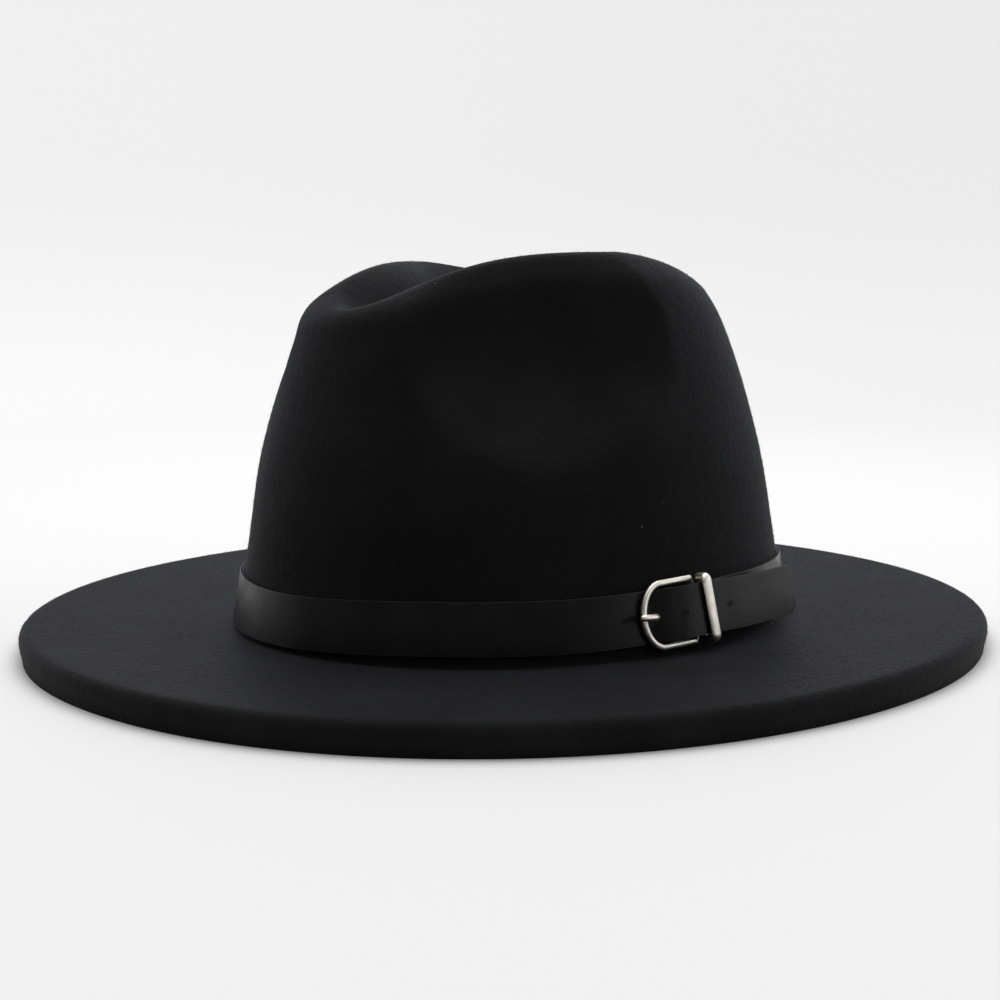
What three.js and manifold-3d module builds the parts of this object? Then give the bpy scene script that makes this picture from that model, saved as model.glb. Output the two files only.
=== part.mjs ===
// Felt fedora with a pinched teardrop crown, a wide flat brim and a buckled leather hat strap.
// Millimetres. X points to the wearer's left, -Y to the front of the hat and +Z up.
// The origin lies on the surface that the hat rests on, under the middle of the brim.

import * as THREE from 'three';
import { mergeVertices } from 'three/addons/utils/BufferGeometryUtils.js';
import Module from 'manifold-3d';

const wasm = await Module();
wasm.setup();

const FACETS_AROUND = 64;
const FELT_THICKNESS = 2.6;

// The brim is a flat oval whose edge turns down in a rounded lip and stands on the surface.
const BRIM = { length: 343.6, width: 319.2, fullness: 2.05, edgeHeight: 9.8, footHeight: 7.0 };
// The lip bulges out to its full size where its upper rounding starts, and draws in below that.
const LIP = { radius: 3.3, drawnIn: 1.0, lowSteps: 3, arcSteps: 3 };
const BRIM_STEPS = 4;
const FOOT_FILLET = 1.0;

// One row for each ring of the crown, from its foot over the ridge to the middle of the crease.
// front, back and side are reaches from the middle, and frontZ, sideZ and backZ are heights.
// nose and nape shape its front and back ends: 2 is an ellipse and less is more pointed.
const CROWN_RINGS = [
  { front: 101.1, back: 106.1, side: 89.5, frontZ: 8, sideZ: 8, backZ: 8, nose: 2, nape: 2 },
  { front: 96.2, back: 101.8, side: 85.5, frontZ: 34, sideZ: 34, backZ: 34, nose: 2, nape: 2 },
  { front: 92.2, back: 96.3, side: 80.9, frontZ: 62, sideZ: 62, backZ: 62, nose: 2, nape: 2 },
  { front: 85.5, back: 89.5, side: 74, frontZ: 85.8, sideZ: 89.5, backZ: 85.1, nose: 2, nape: 2 },
  { front: 81, back: 83, side: 67.9, frontZ: 101.7, sideZ: 109.4, backZ: 101.5, nose: 2, nape: 2 },
  { front: 78.7, back: 77.1, side: 63.3, frontZ: 109.8, sideZ: 120.3, backZ: 111.5, nose: 1.95, nape: 2 },
  { front: 75.3, back: 70.4, side: 57.9, frontZ: 113.8, sideZ: 126.4, backZ: 118.1, nose: 1.85, nape: 2.05 },
  { front: 71.8, back: 62.6, side: 50.5, frontZ: 114.5, sideZ: 131.1, backZ: 120.2, nose: 1.75, nape: 2.1 },
  { front: 68.6, back: 54.9, side: 43.9, frontZ: 113.2, sideZ: 129.3, backZ: 118, nose: 1.65, nape: 2.1 },
  { front: 58, back: 45, side: 28, frontZ: 108.2, sideZ: 117, backZ: 111, nose: 1.6, nape: 2.1 },
  { front: 44, back: 33, side: 17, frontZ: 105.2, sideZ: 109, backZ: 106, nose: 1.7, nape: 2 },
  { front: 24, back: 18, side: 9, frontZ: 104.5, sideZ: 106, backZ: 104, nose: 1.9, nape: 2 },
  { front: 0, back: 0, side: 0, frontZ: 104.5, sideZ: 104.5, backZ: 104.5, nose: 2, nape: 2 },
];
const STEPS_PER_RING = 2;
// How sharply the ridge falls to the front and to the back, and the small lift of its left side.
const RIDGE = { frontFall: 3.45, backFall: 1.4, leftLift: 0.03, liftFrom: 60, liftOver: 60 };

// The two finger pinches, mirrored left and right, as bowls pressed into the crown's front sides.
const PINCH = {
  angle: -35, height: 101, depth: 15.5, reachAlong: 44, reachUp: 38, reachDown: 36,
  softness: 1.6, fadeFrom: 25, fadeOver: 25,
};

// The strap is one strip of leather. Its inner face lies a small gap off the felt.
const STRAP = { width: 16.6, thickness: 1.1, gap: 0.3, endRounding: 3.0, endLength: 2.6 };
// The flat horseshoe frame: length runs from the bar to the arch, height between the arms.
const BUCKLE = {
  barAngle: -2.9, barRadius: 0.65, length: 21.4, height: 20.0, archLength: 7.6, archClearance: 0.8,
  cornerRadius: 1.4, arcPoints: 4, wireWidth: 2.0, wireDepth: 1.7, wireSides: 8,
};
const PRONG = {
  radius: 0.8, tipRadius: 0.75, sides: 8, eyeRadius: 1.7, eyeWidth: 1.8, eyeSteps: 12, play: 0.3,
};
// The fixed loop beside the bar: from is its distance from the bar.
const KEEPER = {
  from: 3.9, width: 3.4, wall: 0.8, dome: 0.35, cornerRadius: 1.0, cornerSteps: 3, play: 0.6, tilt: 7,
};
// The punched holes, counted along the strap from the bar towards its free end.
const HOLES = { radius: 1.0, sides: 10, first: -26.4, pitch: 9.9, count: 5, depth: 3.0 };

const MATERIALS = {
  felt: new THREE.MeshStandardMaterial({ color: 0x121215, roughness: 0.96, metalness: 0 }),
  leather: new THREE.MeshStandardMaterial({ color: 0x17171a, roughness: 0.5, metalness: 0 }),
  nickel: new THREE.MeshStandardMaterial({ color: 0xb9b6ad, roughness: 0.28, metalness: 1 }),
};

const UP = new THREE.Vector3(0, 0, 1);
// Points closer together than this are one point.
const SAME_POINT = 1e-4;

function sumOfPowers(cosine, sine, power) {
  return Math.pow(Math.abs(cosine) ** power + Math.abs(sine) ** power, -1 / power);
}

function smoothStep(value) {
  const t = THREE.MathUtils.clamp(value, 0, 1);
  return t * t * (3 - 2 * t);
}

// A smooth curve through one column of a table, read at a fraction from 0 to 1 of its rows.
function readColumn(rows, column, fraction) {
  const last = rows.length - 1;
  const position = THREE.MathUtils.clamp(fraction, 0, 1) * last;
  const row = Math.min(Math.floor(position), last - 1);
  const t = position - row;
  const value = (index) => rows[THREE.MathUtils.clamp(index, 0, last)][column];
  const [before, start, end, after] = [value(row - 1), value(row), value(row + 1), value(row + 2)];
  const slope = end - before;
  const bend = 2 * before - 5 * start + 4 * end - after;
  const curl = 3 * start - before - 3 * end + after;
  return 0.5 * (2 * start + slope * t + bend * t * t + curl * t * t * t);
}

// Presses the two pinches into a point of the crown.
function pinched(point) {
  const angle = THREE.MathUtils.degToRad(PINCH.angle);
  for (const side of [1, -1]) {
    const outward = new THREE.Vector3(side * Math.cos(angle), Math.sin(angle), 0);
    const along = new THREE.Vector3(-side * Math.sin(angle), Math.cos(angle), 0);
    const rise = point.z - PINCH.height;
    const reach = rise > 0 ? PINCH.reachUp : PINCH.reachDown;
    const bowl = 1 - (point.dot(along) / PINCH.reachAlong) ** 2 - (rise / reach) ** 2;
    const fade = smoothStep((point.dot(outward) - PINCH.fadeFrom) / PINCH.fadeOver);
    point.addScaledVector(outward, -PINCH.depth * Math.max(bowl, 0) ** PINCH.softness * fade);
  }
  return point;
}

// A point of the crown's outer face: theta runs round the hat from +X towards +Y,
// and climb runs from 0 at the foot over the ridge to 1 in the middle of the crease.
function crownPoint(theta, climb) {
  const read = (column) => readColumn(CROWN_RINGS, column, climb);
  const cosine = Math.cos(theta);
  const sine = Math.sin(theta);
  const atFront = sine < 0;
  const spread = sumOfPowers(cosine, sine, read(atFront ? 'nose' : 'nape'));
  const across = spread * cosine;
  const lengthwise = spread * sine;
  const sideZ = read('sideZ');
  const endZ = read(atFront ? 'frontZ' : 'backZ');
  const fall = Math.abs(lengthwise) ** (atFront ? RIDGE.frontFall : RIDGE.backFall);
  const x = read('side') * across;
  const lift = RIDGE.leftLift * x * THREE.MathUtils.clamp((sideZ - RIDGE.liftFrom) / RIDGE.liftOver, 0, 1);
  const z = sideZ + (endZ - sideZ) * fall + lift;
  return pinched(new THREE.Vector3(x, read(atFront ? 'front' : 'back') * lengthwise, z));
}

// A point on the brim's oval outline, drawn in by an inset.
function brimPoint(theta, inset, z) {
  const spread = sumOfPowers(Math.cos(theta), Math.sin(theta), BRIM.fullness);
  const x = (BRIM.width / 2 - inset) * spread * Math.cos(theta);
  const y = (BRIM.length / 2 - inset) * spread * Math.sin(theta);
  return new THREE.Vector3(x, y, z);
}

// A point of the crown's foot, moved outwards along the brim.
function footPoint(theta, outwards, z) {
  const foot = crownPoint(theta, 0);
  const direction = new THREE.Vector3(foot.x, foot.y, 0).normalize();
  return foot.addScaledVector(direction, outwards).setZ(z);
}

// The outer face of the felt at one angle, from the lip's lower edge to the middle of the crease.
function feltProfile(theta) {
  const points = [];
  for (let step = 0; step <= LIP.lowSteps; step++) {
    const share = step / LIP.lowSteps;
    const inset = LIP.drawnIn * (1 - smoothStep(share));
    points.push(brimPoint(theta, inset, (BRIM.edgeHeight - LIP.radius) * share));
  }
  for (let step = 1; step <= LIP.arcSteps; step++) {
    const turn = (Math.PI / 2) * (step / LIP.arcSteps);
    const inset = LIP.radius * (1 - Math.cos(turn));
    points.push(brimPoint(theta, inset, BRIM.edgeHeight - LIP.radius * (1 - Math.sin(turn))));
  }
  const edge = brimPoint(theta, LIP.radius, BRIM.edgeHeight);
  const foot = footPoint(theta, FOOT_FILLET, BRIM.footHeight);
  for (let step = 1; step <= BRIM_STEPS; step++) {
    points.push(edge.clone().lerp(foot, step / BRIM_STEPS));
  }
  const climbs = (CROWN_RINGS.length - 1) * STEPS_PER_RING;
  for (let step = 0; step < climbs; step++) {
    points.push(crownPoint(theta, step / climbs));
  }
  return points;
}

// A closed mesh from faces given as lists of corner points.
function meshFromFaces(faces) {
  const positions = [];
  for (const corners of faces) {
    for (let k = 2; k < corners.length; k++) {
      for (const corner of [corners[0], corners[k - 1], corners[k]]) {
        positions.push(corner.x, corner.y, corner.z);
      }
    }
  }
  const geometry = new THREE.BufferGeometry();
  geometry.setAttribute('position', new THREE.Float32BufferAttribute(positions, 3));
  return mergeVertices(geometry, SAME_POINT);
}

// Crown and brim: one sheet of pressed felt, open below.
function feltGeometry() {
  const columns = [];
  for (let i = 0; i < FACETS_AROUND; i++) {
    columns.push(feltProfile((2 * Math.PI * i) / FACETS_AROUND));
  }
  const around = (i) => (i + FACETS_AROUND) % FACETS_AROUND;
  const last = columns[0].length - 1;
  const top = crownPoint(0, 1);
  const outer = (i, j) => (j > last ? top : columns[around(i)][j]);
  const inner = columns.map((column, i) => column.map((point, j) => {
    const sideways = outer(i + 1, j).clone().sub(outer(i - 1, j));
    const upwards = j > 0 ? outer(i, j + 1).clone().sub(outer(i, j - 1)) : UP;
    return point.clone().addScaledVector(sideways.cross(upwards).normalize(), -FELT_THICKNESS);
  }));
  const innerTop = top.clone().addScaledVector(UP, -FELT_THICKNESS);
  const faces = [];
  for (let i = 0; i < FACETS_AROUND; i++) {
    const next = around(i + 1);
    faces.push([inner[i][0], inner[next][0], columns[next][0], columns[i][0]]);
    for (let j = 0; j < last; j++) {
      faces.push([columns[i][j], columns[next][j], columns[next][j + 1], columns[i][j + 1]]);
      faces.push([inner[next][j], inner[i][j], inner[i][j + 1], inner[next][j + 1]]);
    }
    faces.push([columns[i][last], columns[next][last], top]);
    faces.push([inner[next][last], inner[i][last], innerTop]);
  }
  return meshFromFaces(faces);
}

// The low part of the crown's wall ends at this ring, and a height on it is found by halving.
const WALL_TOP_RING = 2;
const HALVINGS = 30;
const TANGENT_STEP = 0.5;

// The crown's outer face at an angle in degrees and a height, low on the wall.
function wallPoint(degrees, height) {
  const theta = THREE.MathUtils.degToRad(degrees);
  let low = 0;
  let high = WALL_TOP_RING / (CROWN_RINGS.length - 1);
  for (let k = 0; k < HALVINGS; k++) {
    const middle = (low + high) / 2;
    if (crownPoint(theta, middle).z < height) low = middle;
    else high = middle;
  }
  return crownPoint(theta, low);
}

// Directions on the wall for a strap whose lower edge is at a height:
// tangent runs round the hat, lean runs up the wall and outward stands off it.
function wallFrame(degrees, lowEdge) {
  const lower = wallPoint(degrees, lowEdge);
  const upper = wallPoint(degrees, lowEdge + STRAP.width);
  const lean = upper.clone().sub(lower).normalize();
  const ahead = wallPoint(degrees + TANGENT_STEP, lowEdge);
  const tangent = ahead.sub(wallPoint(degrees - TANGENT_STEP, lowEdge)).normalize();
  const outward = tangent.clone().cross(lean).normalize();
  const middle = lower.clone().addScaledVector(lean, STRAP.width / 2);
  return { middle, tangent, lean, outward };
}

// The height of the strap's lower edge above the resting surface as it spirals round the crown.
// turn is the angle in degrees, counted on from the buckle round the back.
const STRAP_HEIGHT = [
  { turn: -4, low: 12.0 },
  { turn: 30, low: 11.2 },
  { turn: 64, low: 9.3 },
  { turn: 98, low: 9.2 },
  { turn: 132, low: 8.9 },
  { turn: 166, low: 8.7 },
  { turn: 200, low: 8.5 },
  { turn: 234, low: 8.3 },
  { turn: 268, low: 8.4 },
  { turn: 302, low: 10.6 },
  { turn: 336, low: 10.9 },
  { turn: 370, low: 12.6 },
  { turn: 404, low: 12.6 },
];

function strapLow(turn) {
  const first = STRAP_HEIGHT[0].turn;
  const last = STRAP_HEIGHT[STRAP_HEIGHT.length - 1].turn;
  return readColumn(STRAP_HEIGHT, 'low', (turn - first) / (last - first));
}

// Distances of the strap's middle plane off the wall: lying on the felt, as the hidden tail,
// round the buckle's bar, and as the free end over the fold.
const LYING = STRAP.gap + STRAP.thickness / 2;
const FOLD_RADIUS = BUCKLE.barRadius + STRAP.gap + STRAP.thickness / 2;
const BAR_OFF = LYING + FOLD_RADIUS;
const MAIN_AT_BAR = BAR_OFF + FOLD_RADIUS;
const FREE_AT_BAR = MAIN_AT_BAR + STRAP.thickness + STRAP.gap;
const FOLD_STEPS = 4;
const LAP_STEPS = 60;
const WALL_RADIUS_AT_BAR = 98;
const FULL_TURN = 360;

// The strap's run by its distance from the bar round the hat and off the wall.
const TAIL_RUN = [
  { from: 10, off: LYING },
  { from: 5, off: LYING },
  { from: 1.3, off: LYING },
];
const MAIN_RUN = [
  { from: 1.3, off: MAIN_AT_BAR },
  { from: 5, off: 3.8 },
  { from: 8, off: 3.35 },
  { from: 12, off: 2.1 },
  { from: 16, off: 1.25 },
  { from: 20, off: LYING },
];
const RETURN_RUN = [
  { from: -30, off: LYING },
  { from: -24, off: LYING },
  { from: -17.8, off: LYING },
  { from: -15.7, off: 1.05 },
  { from: -14, off: 1.9 },
  { from: -12, off: 3.1 },
  { from: -9, off: 4.1 },
  { from: -5.5, off: 4.95 },
  { from: -2.5, off: FREE_AT_BAR },
  { from: 3, off: FREE_AT_BAR },
];
// The free end stands straight off the curve of the crown and bends slightly towards it.
const FREE_END = { length: 53, inward: 4.5, drop: 0.9, steps: 6 };

const barFrame = wallFrame(BUCKLE.barAngle, strapLow(BUCKLE.barAngle));

// A point beside the bar: along runs round the hat, up runs up the wall
// and off stands off the wall's tangent plane.
function besideBar(along, up, off) {
  return barFrame.middle.clone()
    .addScaledVector(barFrame.tangent, along)
    .addScaledVector(barFrame.lean, up)
    .addScaledVector(barFrame.outward, off);
}

function turnFromBar(from) {
  return BUCKLE.barAngle + THREE.MathUtils.radToDeg(from / WALL_RADIUS_AT_BAR);
}

function wallLean(turn) {
  return wallFrame(turn, strapLow(turn)).lean;
}

function offWall(turn, off) {
  const frame = wallFrame(turn, strapLow(turn));
  return frame.middle.addScaledVector(frame.outward, off);
}

// The buckle lies in a flat plane through the bar and over the strap at the arch.
const barCentre = besideBar(0, 0, BAR_OFF);
const archOff = STRAP.gap + STRAP.thickness + BUCKLE.archClearance + BUCKLE.wireDepth / 2;
const archCentre = offWall(turnFromBar(-BUCKLE.length) + FULL_TURN, archOff);
const buckleAlong = barCentre.clone().sub(archCentre).normalize();
const buckleOutward = buckleAlong.clone().cross(barFrame.lean).normalize();
const buckleUp = buckleOutward.clone().cross(buckleAlong).normalize();

// A point in the buckle's plane, raised off it by off.
function onBuckle(along, up, off) {
  return barCentre.clone()
    .addScaledVector(buckleAlong, along)
    .addScaledVector(buckleUp, up)
    .addScaledVector(buckleOutward, off);
}

// The stations of the strap's centre line, from its hidden tail round the bar,
// once round the hat and out to its free end.
function strapStations() {
  const stations = [];
  const addRun = (rows, lap) => rows.forEach(({ from, off }) => {
    const turn = turnFromBar(from) + lap;
    stations.push({ point: offWall(turn, off), lean: wallLean(turn), from });
  });
  addRun(TAIL_RUN, 0);
  for (let step = 0; step <= FOLD_STEPS; step++) {
    const angle = -Math.PI / 2 - Math.PI * (step / FOLD_STEPS);
    const point = onBuckle(FOLD_RADIUS * Math.cos(angle), 0, FOLD_RADIUS * Math.sin(angle));
    stations.push({ point, lean: buckleUp, from: 0 });
  }
  addRun(MAIN_RUN, 0);
  const start = turnFromBar(MAIN_RUN[MAIN_RUN.length - 1].from);
  const end = turnFromBar(RETURN_RUN[0].from) + FULL_TURN;
  for (let step = 1; step < LAP_STEPS; step++) {
    const turn = THREE.MathUtils.lerp(start, end, step / LAP_STEPS);
    stations.push({ point: offWall(turn, LYING), lean: wallLean(turn), from: 0 });
  }
  addRun(RETURN_RUN, FULL_TURN);
  const leave = RETURN_RUN[RETURN_RUN.length - 1].from;
  const leaveHeight = stations[stations.length - 1].point.z;
  const run = FREE_END.length - leave;
  const parts = Array.from({ length: FREE_END.steps - 1 }, (_, k) => (k + 1) / FREE_END.steps);
  for (const part of [...parts, 1 - STRAP.endLength / run, 1]) {
    const from = leave + run * part;
    const point = besideBar(from, 0, FREE_AT_BAR - FREE_END.inward * part * part);
    point.z = leaveHeight - FREE_END.drop * part;
    stations.push({ point, lean: wallLean(turnFromBar(from)), from });
  }
  return stations;
}

// Joins a row of sections, each a list of corners, into a closed tube.
function tubeThrough(sections, closed) {
  const faces = closed ? [] : [[...sections[0]], [...sections[sections.length - 1]].reverse()];
  const corners = sections[0].length;
  const count = closed ? sections.length : sections.length - 1;
  for (let k = 0; k < count; k++) {
    const here = sections[k];
    const there = sections[(k + 1) % sections.length];
    for (let c = 0; c < corners; c++) {
      const d = (c + 1) % corners;
      faces.push([here[c], there[c], there[d], here[d]]);
    }
  }
  return meshFromFaces(faces);
}

// Directions of the strap at each station: tangent along it, up across it and outward off its face.
function strapFrames() {
  const stations = strapStations();
  const last = stations.length - 1;
  return stations.map(({ point, lean, from }, k) => {
    const before = stations[Math.max(k - 1, 0)].point;
    const after = stations[Math.min(k + 1, last)].point;
    const tangent = after.clone().sub(before).normalize();
    const outward = tangent.clone().cross(lean).normalize();
    const up = outward.clone().cross(tangent).normalize();
    return { point, tangent, up, outward, from };
  });
}

// The plain strip round its centre line, before anything is cut through it.
function stripGeometry(frames) {
  const last = frames.length - 1;
  return tubeThrough(frames.map(({ point, up, outward }, k) => {
    const half = STRAP.width / 2 - (k === last ? STRAP.endRounding : 0);
    const corner = (across, off) => point.clone()
      .addScaledVector(up, across * half)
      .addScaledVector(outward, off * STRAP.thickness / 2);
    return [corner(-1, -1), corner(-1, 1), corner(1, 1), corner(1, -1)];
  }), false);
}

// A round or oval section about a point, with its two half sizes.
function ovalSection(centre, across, off, halfAcross, halfOff, sides) {
  return Array.from({ length: sides }, (_, k) => {
    const angle = (2 * Math.PI * (k + 0.5)) / sides;
    return centre.clone()
      .addScaledVector(across, halfAcross * Math.cos(angle))
      .addScaledVector(off, halfOff * Math.sin(angle));
  });
}

// The outline of the horseshoe frame in its own plane, from the foot of the bar round the arch.
function framePath() {
  const half = BUCKLE.height / 2;
  const path = new THREE.Path();
  const corner = BUCKLE.cornerRadius;
  const archStart = BUCKLE.archLength - BUCKLE.length;
  path.moveTo(0, half - corner);
  path.quadraticCurveTo(0, half, -corner, half);
  path.lineTo(archStart, half);
  path.absellipse(archStart, 0, BUCKLE.archLength, half, Math.PI / 2, 1.5 * Math.PI, false, 0);
  path.lineTo(-corner, -half);
  path.quadraticCurveTo(0, -half, 0, corner - half);
  return path;
}

// The frame is one wire: flat and wide round the arch and arms, thin and round as the bar.
function frameGeometry() {
  const isNew = (point, k, all) => k === 0 || point.distanceTo(all[k - 1]) > SAME_POINT;
  const points = framePath().getPoints(BUCKLE.arcPoints).filter(isNew);
  const count = points.length;
  return tubeThrough(points.map((point, k) => {
    const before = points[(k + count - 1) % count];
    const after = points[(k + 1) % count];
    const direction = after.clone().sub(before).normalize();
    const across = buckleAlong.clone().multiplyScalar(direction.y).addScaledVector(buckleUp, -direction.x);
    const onBar = k === 0 || k === count - 1;
    const halfWidth = onBar ? BUCKLE.barRadius : BUCKLE.wireWidth / 2;
    const halfDepth = onBar ? BUCKLE.barRadius : BUCKLE.wireDepth / 2;
    const centre = onBuckle(point.x, point.y, 0);
    return ovalSection(centre, across, buckleOutward, halfWidth, halfDepth, BUCKLE.wireSides);
  }), true);
}

// The prong rises from its eye on the bar, through the strap's hole and onto the arch.
const PRONG_RUN = [
  { along: -1.3, off: 0 },
  { along: -5, off: -0.35 },
  { along: -9, off: -0.75 },
  { along: -12, off: -0.95 },
  { along: -14.3, off: -0.95 },
  { along: -15.8, off: -0.6 },
  { along: -17, off: 0.7 },
  { along: -18.8, off: 1.5 },
  { along: -21.4, off: 1.95 },
  { along: -23.2, off: 1.85 },
];

function prongTube(extra) {
  const centres = PRONG_RUN.map(({ along, off }) => onBuckle(along, 0, off));
  const last = centres.length - 1;
  return tubeThrough(centres.map((centre, k) => {
    const tangent = centres[Math.min(k + 1, last)].clone().sub(centres[Math.max(k - 1, 0)]).normalize();
    const off = buckleUp.clone().cross(tangent).normalize();
    const radius = THREE.MathUtils.lerp(PRONG.radius, PRONG.tipRadius, k / last) + extra;
    return ovalSection(centre, buckleUp, off, radius, radius, PRONG.sides);
  }), false);
}

function prongEye() {
  const inner = BUCKLE.barRadius + STRAP.gap;
  const sections = Array.from({ length: PRONG.eyeSteps }, (_, k) => {
    const angle = (2 * Math.PI * k) / PRONG.eyeSteps;
    const at = (radius, up) => onBuckle(radius * Math.cos(angle), up, radius * Math.sin(angle));
    const half = PRONG.eyeWidth / 2;
    return [at(inner, -half), at(inner, half), at(PRONG.eyeRadius, half), at(PRONG.eyeRadius, -half)];
  });
  return tubeThrough(sections, true);
}

// The keeper is a domed band bent into a closed loop round the strap's main run and free end.
function keeperGeometry() {
  const centre = wallFrame(turnFromBar(KEEPER.from), strapLow(turnFromBar(KEEPER.from)));
  const tilt = THREE.MathUtils.degToRad(KEEPER.tilt);
  const lean = centre.lean.clone().applyAxisAngle(centre.outward, tilt);
  const tangent = centre.tangent.clone().applyAxisAngle(centre.outward, tilt);
  const halfSpan = STRAP.width / 2 + KEEPER.play + KEEPER.wall / 2;
  const inside = LYING + (STRAP.thickness + KEEPER.wall + KEEPER.dome) / 2 + STRAP.gap;
  const outside = FREE_AT_BAR + STRAP.thickness / 2 + KEEPER.play + KEEPER.wall / 2;
  const corners = [
    { up: halfSpan, off: outside, turn: 0 },
    { up: -halfSpan, off: outside, turn: 1 },
    { up: -halfSpan, off: inside, turn: 2 },
    { up: halfSpan, off: inside, turn: 3 },
  ];
  const radius = KEEPER.cornerRadius;
  const sections = [];
  for (const { up, off, turn } of corners) {
    const middleUp = up - Math.sign(up) * radius;
    const middleOff = off - (off === outside ? radius : -radius);
    for (let step = 0; step <= KEEPER.cornerSteps; step++) {
      const angle = (Math.PI / 2) * (turn + step / KEEPER.cornerSteps);
      const outUp = Math.cos(angle);
      const outOff = Math.sin(angle);
      const place = (along, out) => centre.middle.clone()
        .addScaledVector(tangent, along)
        .addScaledVector(lean, middleUp + (radius + out) * outUp)
        .addScaledVector(centre.outward, middleOff + (radius + out) * outOff);
      sections.push(keeperSection(place));
    }
  }
  return tubeThrough(sections, true);
}

function keeperSection(place) {
  const half = KEEPER.width / 2;
  const wall = KEEPER.wall / 2;
  return [
    place(-half, -wall),
    place(-half, wall - KEEPER.dome / 2),
    place(-half / 2, wall + KEEPER.dome / 2),
    place(half / 2, wall + KEEPER.dome / 2),
    place(half, wall - KEEPER.dome / 2),
    place(half, -wall),
  ];
}

function toManifold(geometry) {
  const plain = geometry.clone();
  plain.deleteAttribute('normal');
  plain.deleteAttribute('uv');
  const merged = mergeVertices(plain, SAME_POINT);
  const mesh = new wasm.Mesh({
    numProp: 3,
    vertProperties: new Float32Array(merged.attributes.position.array),
    triVerts: new Uint32Array(merged.index.array),
  });
  return new wasm.Manifold(mesh);
}

function toGeometry(manifold) {
  const mesh = manifold.getMesh();
  const geometry = new THREE.BufferGeometry();
  geometry.setAttribute('position', new THREE.Float32BufferAttribute(mesh.vertProperties, 3));
  geometry.setIndex(new THREE.Uint32BufferAttribute(mesh.triVerts, 1));
  return geometry;
}

// A tool placed with its own axes along the strap, up it and off its face.
function placed(geometry, centre, along, up, off) {
  const matrix = new THREE.Matrix4().makeBasis(along, up, off).setPosition(centre);
  return geometry.applyMatrix4(matrix);
}

// A round punch through the strap at a distance from the bar, on the run that ends in the free end.
function holePunch(frames, from) {
  const start = frames.length - RETURN_RUN.length - FREE_END.steps - 1;
  const after = frames.findIndex((frame, k) => k > start && frame.from >= from);
  const [near, far] = [frames[after - 1], frames[after]];
  const centre = near.point.clone().lerp(far.point, (from - near.from) / (far.from - near.from));
  const along = far.point.clone().sub(near.point).normalize();
  const off = along.clone().cross(far.up).normalize();
  const punch = new THREE.CylinderGeometry(HOLES.radius, HOLES.radius, HOLES.depth, HOLES.sides);
  return placed(punch.rotateX(Math.PI / 2), centre, along, off.clone().cross(along), off);
}

// The leather strap: punched, slotted at the fold for the prong's eye and opened round the prong.
function strapGeometry() {
  const frames = strapFrames();
  let strap = toManifold(stripGeometry(frames));
  for (let k = 0; k < HOLES.count; k++) {
    strap = strap.subtract(toManifold(holePunch(frames, HOLES.first + k * HOLES.pitch)));
  }
  const slotLength = 2 * (FOLD_RADIUS + STRAP.thickness);
  const slotDepth = 2 * (FOLD_RADIUS + STRAP.thickness / 2 + STRAP.gap / 2);
  const slot = new THREE.BoxGeometry(slotLength, PRONG.eyeWidth + 4 * STRAP.gap, slotDepth);
  strap = strap.subtract(toManifold(placed(slot, barCentre, buckleAlong, buckleUp, buckleOutward)));
  return toGeometry(strap.subtract(toManifold(prongTube(PRONG.play))));
}

function prongGeometry() {
  return toGeometry(toManifold(prongTube(0)).add(toManifold(prongEye())));
}

const fedora = new THREE.Group();

function addPiece(name, geometry, material) {
  geometry.computeVertexNormals();
  const mesh = new THREE.Mesh(geometry, material);
  mesh.name = name;
  fedora.add(mesh);
}

addPiece('felt_body', feltGeometry(), MATERIALS.felt);
addPiece('strap', strapGeometry(), MATERIALS.leather);
addPiece('buckle_frame', frameGeometry(), MATERIALS.nickel);
addPiece('buckle_prong', prongGeometry(), MATERIALS.nickel);
addPiece('strap_keeper', keeperGeometry(), MATERIALS.nickel);

export default fedora;
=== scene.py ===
"""Felt fedora with a pinched crown, a flat brim and a buckled leather strap, on a pale floor.

A piece is modelled in millimetres and becomes metres when it is finished.
X points to the wearer's left, -Y to the front of the hat and +Z up.
"""

import logging
import random
from bisect import bisect_right
from dataclasses import dataclass, field
from enum import Enum
from functools import lru_cache
from itertools import accumulate, chain
from math import atan2, cos, degrees, hypot, pi, radians, sin, sqrt
from typing import Callable, Iterable, NamedTuple, Optional, Sequence

import bmesh
import bpy
from bmesh.types import BMEdge, BMesh, BMFace, BMVert
from mathutils import Matrix, Vector, noise
from mathutils.geometry import interpolate_bezier


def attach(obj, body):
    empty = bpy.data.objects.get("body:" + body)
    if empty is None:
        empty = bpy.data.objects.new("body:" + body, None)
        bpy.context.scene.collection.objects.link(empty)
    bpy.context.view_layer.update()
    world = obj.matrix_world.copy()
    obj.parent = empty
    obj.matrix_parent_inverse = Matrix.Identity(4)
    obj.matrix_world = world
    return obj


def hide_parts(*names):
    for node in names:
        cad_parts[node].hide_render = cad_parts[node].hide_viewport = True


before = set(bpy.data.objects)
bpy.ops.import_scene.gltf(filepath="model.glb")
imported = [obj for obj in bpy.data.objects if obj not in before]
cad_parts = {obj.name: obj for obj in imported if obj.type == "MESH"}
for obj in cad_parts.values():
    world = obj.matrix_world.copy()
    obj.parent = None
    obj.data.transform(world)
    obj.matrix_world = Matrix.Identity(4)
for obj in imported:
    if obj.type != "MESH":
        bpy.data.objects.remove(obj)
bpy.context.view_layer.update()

LOG = logging.getLogger("fedora")
MM = 0.001
SAME_POINT = 1e-4
SEAM_GAP = 0.01
SHARP_ANGLE = radians(60)


class Slot(Enum):
    """The material slots of the record."""

    FELT = "felt"
    LEATHER = "strap_leather"
    NICKEL = "nickel"


class Zone(Enum):
    """The stretches of the felt's outer face, from its lower edge to the middle of the crease."""

    LIP = "lip"
    BRIM = "brim"
    FOOT = "foot"
    CROWN = "crown"


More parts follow.
